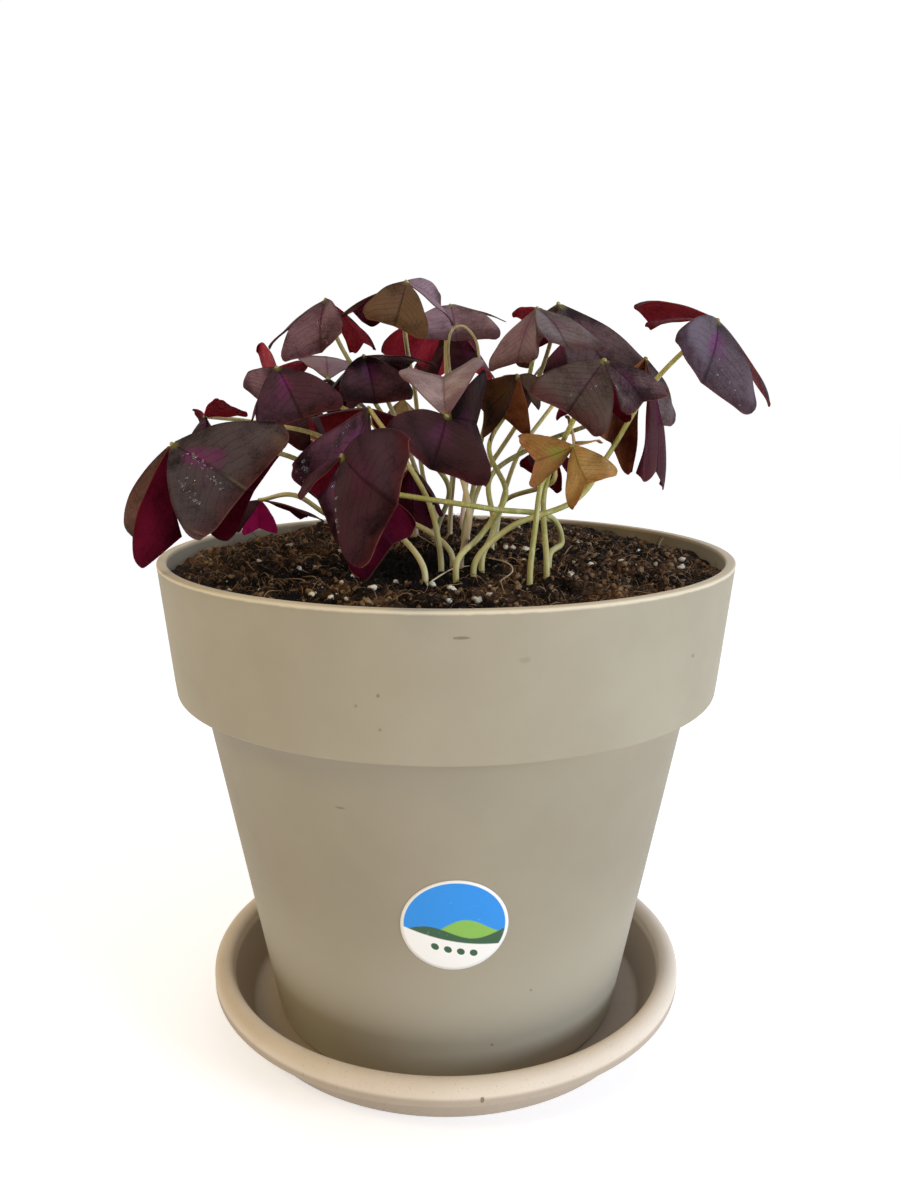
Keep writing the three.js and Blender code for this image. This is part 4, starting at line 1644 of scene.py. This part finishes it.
def drop_tree(shapes: bpy.types.Collection) -> NodeModifier:
    """Builds the tree that sets a flat drop on every point, facing along its normal.

    Args:
        shapes: the drops that it picks from.

    Returns:
        The tree.
    """
    tree = NodeModifier("drops on points")
    graph = tree.graph
    seed = tree.input("Seed", "Int")
    material = tree.input("Material", "Material")
    spin = graph.get("ShaderNodeCombineXYZ", "Vector",
                     Z=graph.random(0.0, 2.0 * math.pi, seed))
    turn = graph.get("FunctionNodeAlignEulerToVector", "Rotation", {"axis": "Z"}, Rotation=spin,
                     Vector=graph.named("facing", "FLOAT_VECTOR"))
    points = graph.get("GeometryNodeMeshToPoints", Mesh=tree.geometry)
    tree.end(graph.strewn(points, shapes, turn, graph.named("size", "FLOAT")), material)
    return tree


@dataclass
class Drops:
    """Water that lies in beads and streaks on the upper leaves."""

    smallest: float = 0.7 * MM
    across: float = 0.93
    along: Spot = (0.1, 0.95)
    seed: int = 5
    streaks: tuple[Dew, ...] = (
        Dew("01", 0, (0.02, 0.3), (-0.12, 0.84), 25, 0.05, 2.4 * MM),
        Dew("01", 0, (-0.44, 0.45), (-0.4, 0.74), 14, 0.05, 2.3 * MM),
        Dew("01", 0, (-0.2, 0.3), (-0.3, 0.6), 8, 0.1, 1.5 * MM),
        Dew("24", 0, (-0.74, 0.9), (-0.05, 0.86), 29, 0.08, 2.5 * MM),
        Dew("24", 0, (-0.4, 0.55), (-0.56, 0.36), 12, 0.05, 1.9 * MM),
        Dew("24", 0, (0.3, 0.8), (0.75, 0.95), 10, 0.06, 1.7 * MM),
        Dew("07", 0, (-0.69, 0.36), (-0.78, 0.6), 7, 0.03, 1.7 * MM),
        Dew("04", 0, (-0.06, 0.5), (0.2, 0.92), 16, 0.14, 1.9 * MM),
        Dew("08", 0, (0.62, 0.5), (0.29, 0.55), 3, 0.04, 2.3 * MM),
        Dew("10", 0, (0.1, 0.4), (0.2, 0.5), 3, 0.05, 1.9 * MM),
        Dew("11", 0, (-0.2, 0.45), (0.3, 0.9), 7, 0.1, 2.1 * MM),
        Dew("11", 1, (0.2, 0.4), (0.28, 0.48), 3, 0.04, 1.9 * MM),
        Dew("14", 1, (-0.72, 0.48), (-0.72, 0.56), 3, 0.02, 2.5 * MM),
        Dew("18", 1, (-0.3, 0.5), (0.54, 0.9), 8, 0.25, 1.3 * MM),
        Dew("14", 0, (0.1, 0.4), (-0.2, 0.85), 3, 0.2, 1.3 * MM),
    )

    def build(self, blade: Blade) -> Piece:
        """Places all the drops on their leaflets and makes them of one mesh.

        Args:
            blade: the rule that shapes the leaflets.

        Returns:
            The piece.
        """
        draw = np.random.default_rng(self.seed)
        leaves = {leaf.name: leaf for leaf in LEAVES}
        places, sizes, facings = [], [], []
        for dew in self.streaks:
            share = np.clip(self._along(dew, 0, draw), -self.across, self.across)
            row = np.clip(self._along(dew, 1, draw), *self.along)
            point, facing = blade.outside(leaves[dew.leaf], dew.leaflet, share, row)
            places.append(point)
            facings.append(facing)
            sizes.append(self.smallest + (dew.largest - self.smallest) * draw.random(dew.count)**3)
        mesh = bpy.data.meshes.new("drop places")
        mesh.from_pydata(np.concatenate(places).tolist(), [], [])
        carry(mesh, "size", np.concatenate(sizes))
        carry(mesh, "facing", np.concatenate(facings))
        carrier = placed("drop places", mesh)
        shapes = [knobbly(0.5, 4.7 * i, (1.0, 0.75 + 0.1 * i, 0.5), 0.35, 9, 14) for i in range(3)]
        with lent_shapes("drop", shapes) as lent:
            piece = drop_tree(lent).apply(carrier, "water_drops", Seed=self.seed,
                                          Material=Water().material())
        return finished(piece, None)

    @staticmethod
    def _along(dew: Dew, part: int, draw: np.random.Generator) -> Array:
        """Draws one coordinate of a streak's drops.

        Args:
            dew: the streak.
            part: 0 for the place across, 1 for the place along.
            draw: where the random numbers come from.

        Returns:
            One number for each drop.
        """
        low, high = dew.start[part], dew.stop[part]
        even = np.linspace(low, high, dew.count)
        return even + dew.spread * draw.normal(0.0, 0.6, dew.count)


# ---- stems


def eased_course(points: list[Point], step: float) -> list[Point]:
    """Threads a smooth course through points, evenly smooth however far apart they are.

    Args:
        points: the places that it passes.
        step: about how far apart the returned points lie.

    Returns:
        Points along the course, from the first place to the last.
    """
    places = [Vector(p) for p in points]
    places = [2 * places[0] - places[1], *places, 2 * places[-1] - places[-2]]
    course: list[Point] = []
    for p0, p1, p2, p3 in zip(places, places[1:], places[2:], places[3:]):
        d0, d1, d2 = ((b - a).length ** 0.5 for a, b in ((p0, p1), (p1, p2), (p2, p3)))
        out = ((p1 - p0) / d0 - (p2 - p0) / (d0 + d1) + (p2 - p1) / d1) * d1
        into = ((p2 - p1) / d1 - (p3 - p1) / (d1 + d2) + (p3 - p2) / d2) * d1
        count = max(2, round((p2 - p1).length / step))
        for i in range(count):
            t = i / count
            bend = (2 * p1 - 2 * p2 + out + into) * t**3
            bend += (3 * p2 - 3 * p1 - 2 * out - into) * t**2
            course.append(tuple(p1 + out * t + bend))
    course.append(tuple(places[-2]))
    return course


def course_carrier(courses: list[list[Point]]) -> Piece:
    """Makes an object of open edges along one or more courses.

    Args:
        courses: the points of each course.

    Returns:
        The object.
    """
    points: list[Point] = []
    edges: list[tuple[int, int]] = []
    for course in courses:
        start = len(points)
        points += course
        edges += [(start + i, start + i + 1) for i in range(len(course) - 1)]
    mesh = bpy.data.meshes.new("course")
    mesh.from_pydata(points, edges, [])
    return placed("course", mesh)


def tube_tree() -> NodeModifier:
    """Builds the tree that sweeps a round section along courses, thinner towards the end.

    Returns:
        The tree.
    """
    tree = NodeModifier("tube along a course")
    graph = tree.graph
    foot = tree.input("Foot Radius", "Float")
    neck = tree.input("Neck Radius", "Float")
    sides = tree.input("Sides", "Int")
    material = tree.input("Material", "Material")
    curve = graph.get("GeometryNodeMeshToCurve", Mesh=tree.geometry)
    along = graph.get("GeometryNodeSplineParameter", "Factor")
    curve = graph.stored(curve, "along", along, "POINT")
    radius = foot + (neck - foot) * along
    curve = graph.get("GeometryNodeSetCurveRadius", Curve=curve, Radius=radius)
    section = graph.get("GeometryNodeCurvePrimitiveCircle", None, {"mode": "RADIUS"},
                        Resolution=sides, Radius=1.0)
    sweep = graph.node("GeometryNodeCurveToMesh", Curve=curve, Profile_Curve=section,
                       Fill_Caps=True)
    scale = next((s for s in sweep.inputs if s.name == "Scale"), None)
    if scale:
        graph.feed(scale, graph.get("GeometryNodeInputRadius"))
    tree.end(Value(graph, sweep.outputs[0]), material)
    return tree


@dataclass
class Stems:
    """The leaf stems and the old bent stalk, each along its own course."""

    radius: float = 1.1 * MM
    foot_share: float = 1.08
    neck_share: float = 0.82
    buried: float = 10.0 * MM
    upright: float = 6.0 * MM
    below_hub: float = 0.8 * MM
    step: float = 1.6 * MM
    sides: int = 14
    stalk_radius: float = 0.7 * MM
    stalk_neck_share: float = 0.8
    stalk_sides: int = 10
    stalk_root: Spot = (2, 46)
    stalk_via: tuple[Point, ...] = ((4, 36, 238), (3, 12, 269), (1, 2, 292), (3, 0, 298),
                                    (7, 0, 299), (12, 0, 294), (14, 0, 285))

    def rooted(self, root: Spot, pot: Pot, bed: Bed) -> list[Point]:
        """Starts a stem straight up out of the soil.

        Args:
            root: where it leaves the soil, in millimetres.
            pot: what holds the soil.
            bed: the soil's own rule.

        Returns:
            The first points of its course.
        """
        x, y = root[0] * MM, root[1] * MM
        top = bed.height(x, y, pot)
        return [(x, y, top + rise) for rise in (-self.buried, -0.5 * self.buried, self.upright)]

    def build(self, pot: Pot, bed: Bed) -> list[Piece]:
        """Makes all the stems.

        Args:
            pot: what holds the soil.
            bed: the soil's own rule.

        Returns:
            The pieces.
        """
        tree = tube_tree()
        skins = {tone: tone.value.material() for tone in StemTone}
        made = []
        for leaf in LEAVES:
            way = in_metres(leaf.via)
            hub = Vector(leaf.hub) * MM
            last = hub + (Vector(way[-1]) - hub).normalized() * self.below_hub
            course = eased_course([*self.rooted(leaf.root, pot, bed), *way, tuple(last)], self.step)
            piece = tree.apply(course_carrier([course]), f"stem_{leaf.name}",
                               Foot_Radius=self.radius * self.foot_share,
                               Neck_Radius=self.radius * self.neck_share,
                               Sides=self.sides, Material=skins[leaf.stem])
            made.append(finished(piece, "petiole", f"petiole_{leaf.name}"))
        way = [*self.rooted(self.stalk_root, pot, bed), *in_metres(self.stalk_via)]
        piece = tree.apply(course_carrier([eased_course(way, self.step)]), "bent_stalk",
                           Foot_Radius=self.stalk_radius,
                           Neck_Radius=self.stalk_radius * self.stalk_neck_share,
                           Sides=self.stalk_sides, Material=skins[StemTone.DRY])
        made.append(finished(piece, "stalk", "stalk_bent"))
        return made


# ---- soil


def knobbly(radius: float, seed: float, squash: Point, roughness: float, rings: int = 5,
            sides: int = 7) -> Skin:
    """Makes a small closed lump, of a few dozen faces by default.

    Args:
        radius: its mean radius.
        seed: what makes it unlike the others.
        squash: its scale along each axis.
        roughness: how far it leaves the round.
        rings: points from its lowest to its highest.
        sides: points around it.

    Returns:
        The points and the faces.
    """
    points, faces = ball(radius, rings, sides)
    shift = Vector((seed, 2.1 * seed, 3.7 * seed))
    swell = [1.0 + roughness * noise.noise(Vector(p) / radius * 1.1 + shift) for p in points]
    return points * np.array(swell)[:, None] * np.array(squash), faces


def strand(length: float, radius: float, seed: float, count: int = 6) -> Skin:
    """Makes a short bent thread with three sides.

    Args:
        length: from end to end.
        radius: at its middle.
        seed: what makes it unlike the others.
        count: how many pieces it bends in.

    Returns:
        The points and the faces.
    """
    rows = []
    for i in range(count + 1):
        t = i / count
        centre = Vector((length * (t - 0.5), 0.22 * length * math.sin(3.1 * t + seed),
                         0.16 * length * math.sin(5.0 * t + 1.7 * seed)))
        girth = radius * (1.0 - 0.6 * abs(2.0 * t - 1.0))
        for turn in (0.0, 2.1, 4.2):
            rows.append(centre + Vector((0.0, girth * math.cos(turn), girth * math.sin(turn))))
    faces = [(3 * i + a, 3 * i + b, 3 * i + 3 + b, 3 * i + 3 + a)
             for i in range(count) for a, b in ((0, 1), (1, 2), (2, 0))]
    faces += [(2, 1, 0), (3 * count, 3 * count + 1, 3 * count + 2)]
    return np.array(rows), faces


def scatter_tree(shapes: bpy.types.Collection) -> NodeModifier:
    """Builds the tree that strews small things over a surface, partly sunk.

    Args:
        shapes: the things that it picks from.

    Returns:
        The tree.
    """
    tree = NodeModifier("strewn " + shapes.name)
    graph = tree.graph
    density = tree.input("Density", "Float")
    seed = tree.input("Seed", "Int")
    smallest = tree.input("Smallest", "Float")
    largest = tree.input("Largest", "Float")
    tilt = tree.input("Tilt", "Float")
    material = tree.input("Material", "Material")
    points = graph.get("GeometryNodeDistributePointsOnFaces", "Points",
                       {"distribute_method": "RANDOM"}, Mesh=tree.geometry, Density=density,
                       Seed=seed)
    draw = graph.random(0.0, 1.0, seed)
    size = smallest + (largest - smallest) * draw * draw * draw
    lean = [graph.random(-1.0, 1.0, seed + 3.0 + i) for i in range(3)]
    turn = graph.get("ShaderNodeCombineXYZ", "Vector", X=lean[0] * tilt, Y=lean[1] * tilt,
                     Z=lean[2] * math.pi)
    strewn = graph.strewn(points, shapes, turn, size)
    tint = graph.random(0.0, 1.0, seed + 2.0)
    tree.end(graph.stored(strewn, "tint", tint, "INSTANCE"), material)
    return tree


@dataclass
class Strewn:
    """One kind of small thing that lies all over the soil."""

    name: str
    shapes: list[Skin]
    density: float
    seed: int
    smallest: float
    largest: float
    tilt: float = math.pi

    def build(self, ground: Piece, material: Material,
              slot: str | None) -> Piece:
        """Strews the shapes over a copy of the ground and makes them one mesh.

        Args:
            ground: the surface that they lie on, which stays.
            material: what they are dressed in.
            slot: the record's material slot, if they take one.

        Returns:
            The piece.
        """
        with lent_shapes(self.name, self.shapes) as lent:
            carrier = placed("strewn ground", ground.data.copy())
            piece = scatter_tree(lent).apply(carrier, self.name, Density=self.density,
                                             Seed=self.seed, Smallest=self.smallest,
                                             Largest=self.largest, Tilt=self.tilt,
                                             Material=material)
        return finished(piece, slot)


@dataclass
class Soil:
    """The potting mix: a lumpy surface strewn with crumbs, fibres, roots and perlite.

    Clods and grit are noise with so many cells in a metre, as high as rough and fine.
    """

    gap: float = 0.0003
    rings: int = 130
    sides: int = 300
    cells: int = 110
    clear: float = 0.0035
    fine: float = 0.0018
    fine_scale: float = 520.0
    rough: float = 0.0034
    rough_scale: float = 130.0
    calm: float = 0.014
    grain_rise: float = 0.0012
    grains: tuple[tuple[float, float, float], ...] = (
        (2, -75, 3.4), (11, -86, 3.6), (15, -85.5, 3.2), (26, 6, 3), (29, 5, 2.6), (34, 1, 3),
        (31, -30, 2.6), (47, -54, 3), (58, -29, 2.6), (1, -85, 2.4), (-14, -59, 3), (101, -2, 3),
        (97, -18, 3.4), (-26, -77, 3), (-19, -53, 2.4), (-36, -49, 2.8), (-41, -79, 2.6),
        (-58, -36, 2.4), (-48, -76, 2.6), (-5, -70, 3), (39, -40, 2.2), (72, -20, 2.4),
        (60, 30, 3), (-40, 40, 3), (10, 62, 2.6), (-70, 20, 2.8), (85, 12, 2.2), (-78, -12, 2.4))
    threads: tuple[tuple[Point, ...], ...] = (
        ((16, -30, 208), (23.5, -39, 207.5), (25, -56, 207), (20, -70, 206), (18, -75, 204)),
        ((-6, -68, 205), (-2, -64, 207), (3, -55, 208), (9, -44, 207)),
        ((-12, 34, 212), (-19, 20, 220), (-15, 6, 214), (-4, -2, 208)))

    def build(self, pot: Pot, bed: Bed) -> list[Piece]:
        """Makes the soil's body and all that is strewn over it.

        Args:
            pot: what holds the soil.
            bed: the soil's own rule.

        Returns:
            The pieces.
        """
        earth = Earth("potting mix").material()
        husk = Earth("soil fibre", srgb(30, 17, 9), srgb(112, 76, 48), srgb(200, 162, 120),
                     tan_share=1.0, tint_share=0.8).material()
        mineral = Mineral().material()
        body = self._body(pot, bed, earth)
        ground = self._ground(pot, bed)
        crumbs = [knobbly(1.0, 1.3 * i, (1.0, 0.8, 0.65), 0.9) for i in range(5)]
        fibres = [strand(1.0, 0.02, 1.1 * i) for i in range(7)]
        specks = [knobbly(1.0, 2.9 * i + 0.4, (1.0, 0.82, 0.7), 0.5) for i in range(5)]
        strewn = [
            (Strewn("soil_crumbs", crumbs, density=85000.0, seed=3, smallest=0.0005,
                    largest=0.0018), earth, "soil"),
            (Strewn("soil_fibres", fibres, density=95000.0, seed=7, smallest=0.004,
                    largest=0.0125, tilt=0.6), husk, "soil"),
            (Strewn("perlite_specks", specks, density=3600.0, seed=11, smallest=0.0003,
                    largest=0.0013), mineral, None),
        ]
        made = [item.build(ground, material, slot) for item, material, slot in strewn]
        bpy.data.objects.remove(ground)
        return [body, *made, self._grains(pot, bed, mineral), self._threads()]

    def _grains(self, pot: Pot, bed: Bed, mineral: Material) -> Piece:
        """Lays the larger perlite grains, each half sunk in the surface.

        Args:
            pot: what holds the soil.
            bed: the soil's own rule.
            mineral: what they are dressed in.

        Returns:
            One piece of all the grains.
        """
        net = Net()
        for i, (x, y, width) in enumerate(self.grains):
            squash = (1.0, 0.72 + 0.1 * (i % 3), 0.62)
            points, faces = knobbly(0.5 * width * MM, 3.1 * i, squash, 0.7, 9, 12)
            turn = 2.4 * i
            spin = np.array([[math.cos(turn), -math.sin(turn), 0.0],
                             [math.sin(turn), math.cos(turn), 0.0], [0.0, 0.0, 1.0]])
            height = bed.height(x * MM, y * MM, pot) + self.grain_rise
            net.add(points @ spin.T + np.array((x * MM, y * MM, height)), faces,
                    tint=np.full(len(points), 0.12 * (i % 4)))
        return finished(net.build("perlite_grains", [mineral]), None)

    def _threads(self) -> Piece:
        """Makes the pale roots that lie bare between the stems.

        Returns:
            One piece of all the roots.
        """
        pale = StemSkin("bare root", srgb(206, 190, 158), srgb(196, 176, 142), srgb(150, 124, 92))
        courses = [eased_course(in_metres(way), 1.5 * MM) for way in self.threads]
        made = tube_tree().apply(course_carrier(courses), "bare_roots", Foot_Radius=0.32 * MM,
                                 Neck_Radius=0.18 * MM, Sides=8, Material=pale.material())
        return finished(made, None)

    def _top(self, x: float, y: float, pot: Pot, bed: Bed, radius: float) -> float:
        """Height of the crumbly surface, which stays calm where it meets the wall.

        Args:
            x: place to the right, in metres.
            y: place to the back, in metres.
            pot: what holds the soil.
            bed: the soil's own rule.
            radius: where the wall is.

        Returns:
            The height above the ground.
        """
        calm = max(0.0, min(1.0, (radius - math.hypot(x, y)) / self.calm))
        place = Vector((x, y, 0.0))
        clods = noise.fractal(place * self.rough_scale, 1.0, 2.2, 4) * self.rough
        grit = noise.fractal(place * self.fine_scale, 1.0, 2.1, 2) * self.fine
        return bed.height(x, y, pot) + (clods + grit) * calm

    def _body(self, pot: Pot, bed: Bed, earth: Material) -> Piece:
        """Makes the closed body of the soil, which fills the pot.

        Args:
            pot: what holds the soil.
            bed: the soil's own rule.
            earth: what it is dressed in.

        Returns:
            The piece.
        """
        low = pot.band_foot
        edge_height = pot.rim_height - bed.edge_depth
        edge = pot.band_at(edge_height) - pot.wall - self.gap
        profile = [
            (0.0, pot.floor + self.gap),
            (pot.body_at(pot.floor) - pot.wall - self.gap, pot.floor + self.gap),
            (pot.body_at(low) - pot.wall - self.gap, low - pot.wall),
            (pot.band_at(low) - pot.wall - self.gap, low + pot.wall),
            *[(edge * (1.0 - ring / self.rings), edge_height) for ring in range(self.rings)],
            (0.0, edge_height),
        ]
        points, faces = turned(profile, self.sides)
        for point in points:
            if point[2] > edge_height - 0.1 * MM:
                point[2] = self._top(point[0], point[1], pot, bed, edge)
        return finished(Net.of((points, faces)).build("soil_body", [earth]), "soil", "soil")

    def _ground(self, pot: Pot, bed: Bed) -> Piece:
        """Makes the open surface that things are strewn over, clear of the pot's wall.

        Args:
            pot: what holds the soil.
            bed: the soil's own rule.

        Returns:
            The surface.
        """
        radius = pot.band_at(pot.rim_height) - pot.wall - self.clear
        count = self.cells
        axis = np.linspace(-radius, radius, count)
        points = np.array([(x, y, self._top(x, y, pot, bed, radius)) for y in axis for x in axis])
        faces = [
            (r * count + c, r * count + c + 1, (r + 1) * count + c + 1, (r + 1) * count + c)
            for r in range(count - 1) for c in range(count - 1)
            if math.hypot(axis[c] + axis[c + 1], axis[r] + axis[r + 1]) < 2.0 * radius - MM
        ]
        return Net.of((points, faces)).build("ground", [])


# ---- studio


@dataclass
class Softbox:
    """A square soft light that faces the pot."""

    name: str
    place: Point
    size: float
    power: float
    colour: Colour

    def build(self, target: Point) -> None:
        """Makes the light.

        Args:
            target: the place that it faces.
        """
        data = bpy.data.lights.new(self.name, "AREA")
        data.size = self.size
        data.energy = self.power
        data.color = self.colour
        light = placed(self.name, data)
        light.location = self.place
        away = Vector(self.place) - Vector(target)
        light.rotation_euler = away.to_track_quat("Z", "Y").to_euler()


@dataclass
class Studio:
    """The pale floor, the room's tinted light, the soft lights and the camera."""

    floor_size: float = 12.0
    floor_tones: tuple[Colour, Colour] = ((0.88, 0.87, 0.86), (0.91, 0.9, 0.89))
    glow: float = 0.46
    glow_tint: Colour = (0.96, 1.0, 1.08)
    warm: Colour = (0.64, 0.5, 0.26)
    cool: Colour = (0.98, 1.06, 1.28)
    white: Colour = (1.0, 1.0, 1.0)
    backdrop: float = 1.02
    front: float = 0.62
    target: Point = (0.0, 0.0, 0.16)
    lights: tuple[Softbox, ...] = (
        Softbox("daylight", (1.45, -0.95, 0.6), 0.6, 16.0, (0.8, 0.9, 1.0)),
        Softbox("room light", (-1.0, -0.9, 1.5), 0.5, 8.6, (1.0, 0.78, 0.4)),
    )
    eye: Point = (0.0, -0.44124, 0.27734)
    pitch: float = 78.08
    lens: float = 31.24
    film: float = 36.0
    nearest: float = 0.01
    image_height: float = 1200.0
    off_centre: float = 4.0

    def build(self) -> None:
        """Makes the studio."""
        self._floor()
        self._world()
        for box in self.lights:
            box.build(self.target)
        self._camera()
        bpy.context.scene.view_settings.view_transform = "Standard"

    def _floor(self) -> None:
        """Makes the floor."""
        half = self.floor_size / 2
        corners = np.array([(-half, -half, 0), (half, -half, 0), (half, half, 0), (-half, half, 0)])
        material, graph = new_material("floor")
        colour = graph.mix(graph.noise(3.0, 2.0), *self.floor_tones)
        surface(graph, Base_Color=colour, Roughness=0.8, Emission_Color=self.glow_tint,
                Emission_Strength=self.glow)
        Net.of((corners, [(0, 1, 2, 3)])).build("floor", [material])

    def _world(self) -> None:
        """Makes the even light of the room, warm on one side, with a pale backdrop."""
        world = bpy.data.worlds.new("room")
        world.use_nodes = True
        world.node_tree.nodes.clear()
        graph = Graph(world.node_tree)
        across, ahead, _ = graph.axes(graph.get("ShaderNodeTexCoord", "Generated"))
        room = graph.over(self.warm, self.cool, across, -0.7, 0.7)
        lit = graph.smooth(ahead, 0.35, 0.75)
        shade = graph.get("ShaderNodeBackground",
                          Strength=self.front + (self.backdrop - self.front) * lit,
                          Color=graph.mix(lit, room, self.white))
        graph.node("ShaderNodeOutputWorld", Surface=shade)
        bpy.context.scene.world = world

    def _camera(self) -> None:
        """Makes the camera."""
        data = bpy.data.cameras.new("camera")
        data.sensor_width = self.film
        data.lens = self.lens
        data.shift_x = self.off_centre / self.image_height
        data.clip_start = self.nearest
        camera = placed("camera", data)
        camera.location = self.eye
        camera.rotation_euler = (math.radians(self.pitch), 0.0, 0.0)
        bpy.context.scene.camera = camera


# ---- the whole object


def main() -> None:
    """Builds the dressed part and its studio."""
    logging.basicConfig(level=logging.INFO, format="%(message)s")
    marks = (
        Scuff((0.005, -0.119, 0.1969), (0.0035, 0.01, 0.0007), 0.6),
        Scuff((0.0256, -0.1154, 0.1887), (0.0026, 0.01, 0.0013), 0.2),
        Scuff((-0.0222, -0.1148, 0.1764), (0.0008, 0.01, 0.0009), 0.55),
        Scuff((-0.0297, -0.1128, 0.1723), (0.0007, 0.01, 0.0007), 0.4),
        Scuff((-0.0218, -0.1137, 0.1643), (0.0008, 0.01, 0.0008), 0.4),
        Scuff((0.0896, -0.0757, 0.1794), (0.0009, 0.01, 0.001), 0.45),
        Scuff((-0.0379, -0.0924, 0.1278), (0.0024, 0.01, 0.0006), 0.5),
        Scuff((0.0329, -0.0782, 0.0465), (0.0006, 0.01, 0.0008), 0.5),
        Scuff((0.018, -0.0784, 0.0228), (0.0009, 0.01, 0.0008), 0.5),
        Scuff((0.082, 0.082, 0.2), (0.008, 0.008, 0.004), 0.7),
    )
    # The pot's painted shade is the band's shadow on its body, painted light brightens its foot, and
    # the top of its rim is pale, partly from wear and partly from a painted highlight.
    taupe = Plastic("pot plastic", srgb(153, 143, 122), srgb(160, 151, 130), srgb(92, 74, 54),
                    shade=0.2, painted_foot_light=0.38, wear_and_highlight_height=0.2042, scuffs=marks)
    # The saucer's painted shade darkens it below the top of its lip, on its skirt and its floor.
    sand = Plastic("saucer plastic", srgb(209, 193, 173), srgb(221, 206, 187), srgb(104, 84, 60),
                   speckle=0.45, shade=0.5, shade_height=0.0195, shade_foot=-0.1,
                   scuffs=(Scuff((0.0134, -0.1035, 0.018), (0.001, 0.01, 0.0016), 0.8),))
    pot, bed = Pot(), Bed()
    Saucer().build(sand)
    pot.build(taupe)
    Label().build(pot, LabelPrint())
    Soil().build(pot, bed)
    skins = {tone: tone.value.material() for tone in LeafTone}
    knob = StemSkin("hub", srgb(150, 132, 84), srgb(146, 128, 80), srgb(140, 124, 76)).material()
    blade = Blade()
    for leaf in LEAVES:
        blade.build(leaf, skins, knob)
    Drops().build(blade)
    Stems().build(pot, bed)
    Studio().build()


if __name__ == "__main__":
    main()
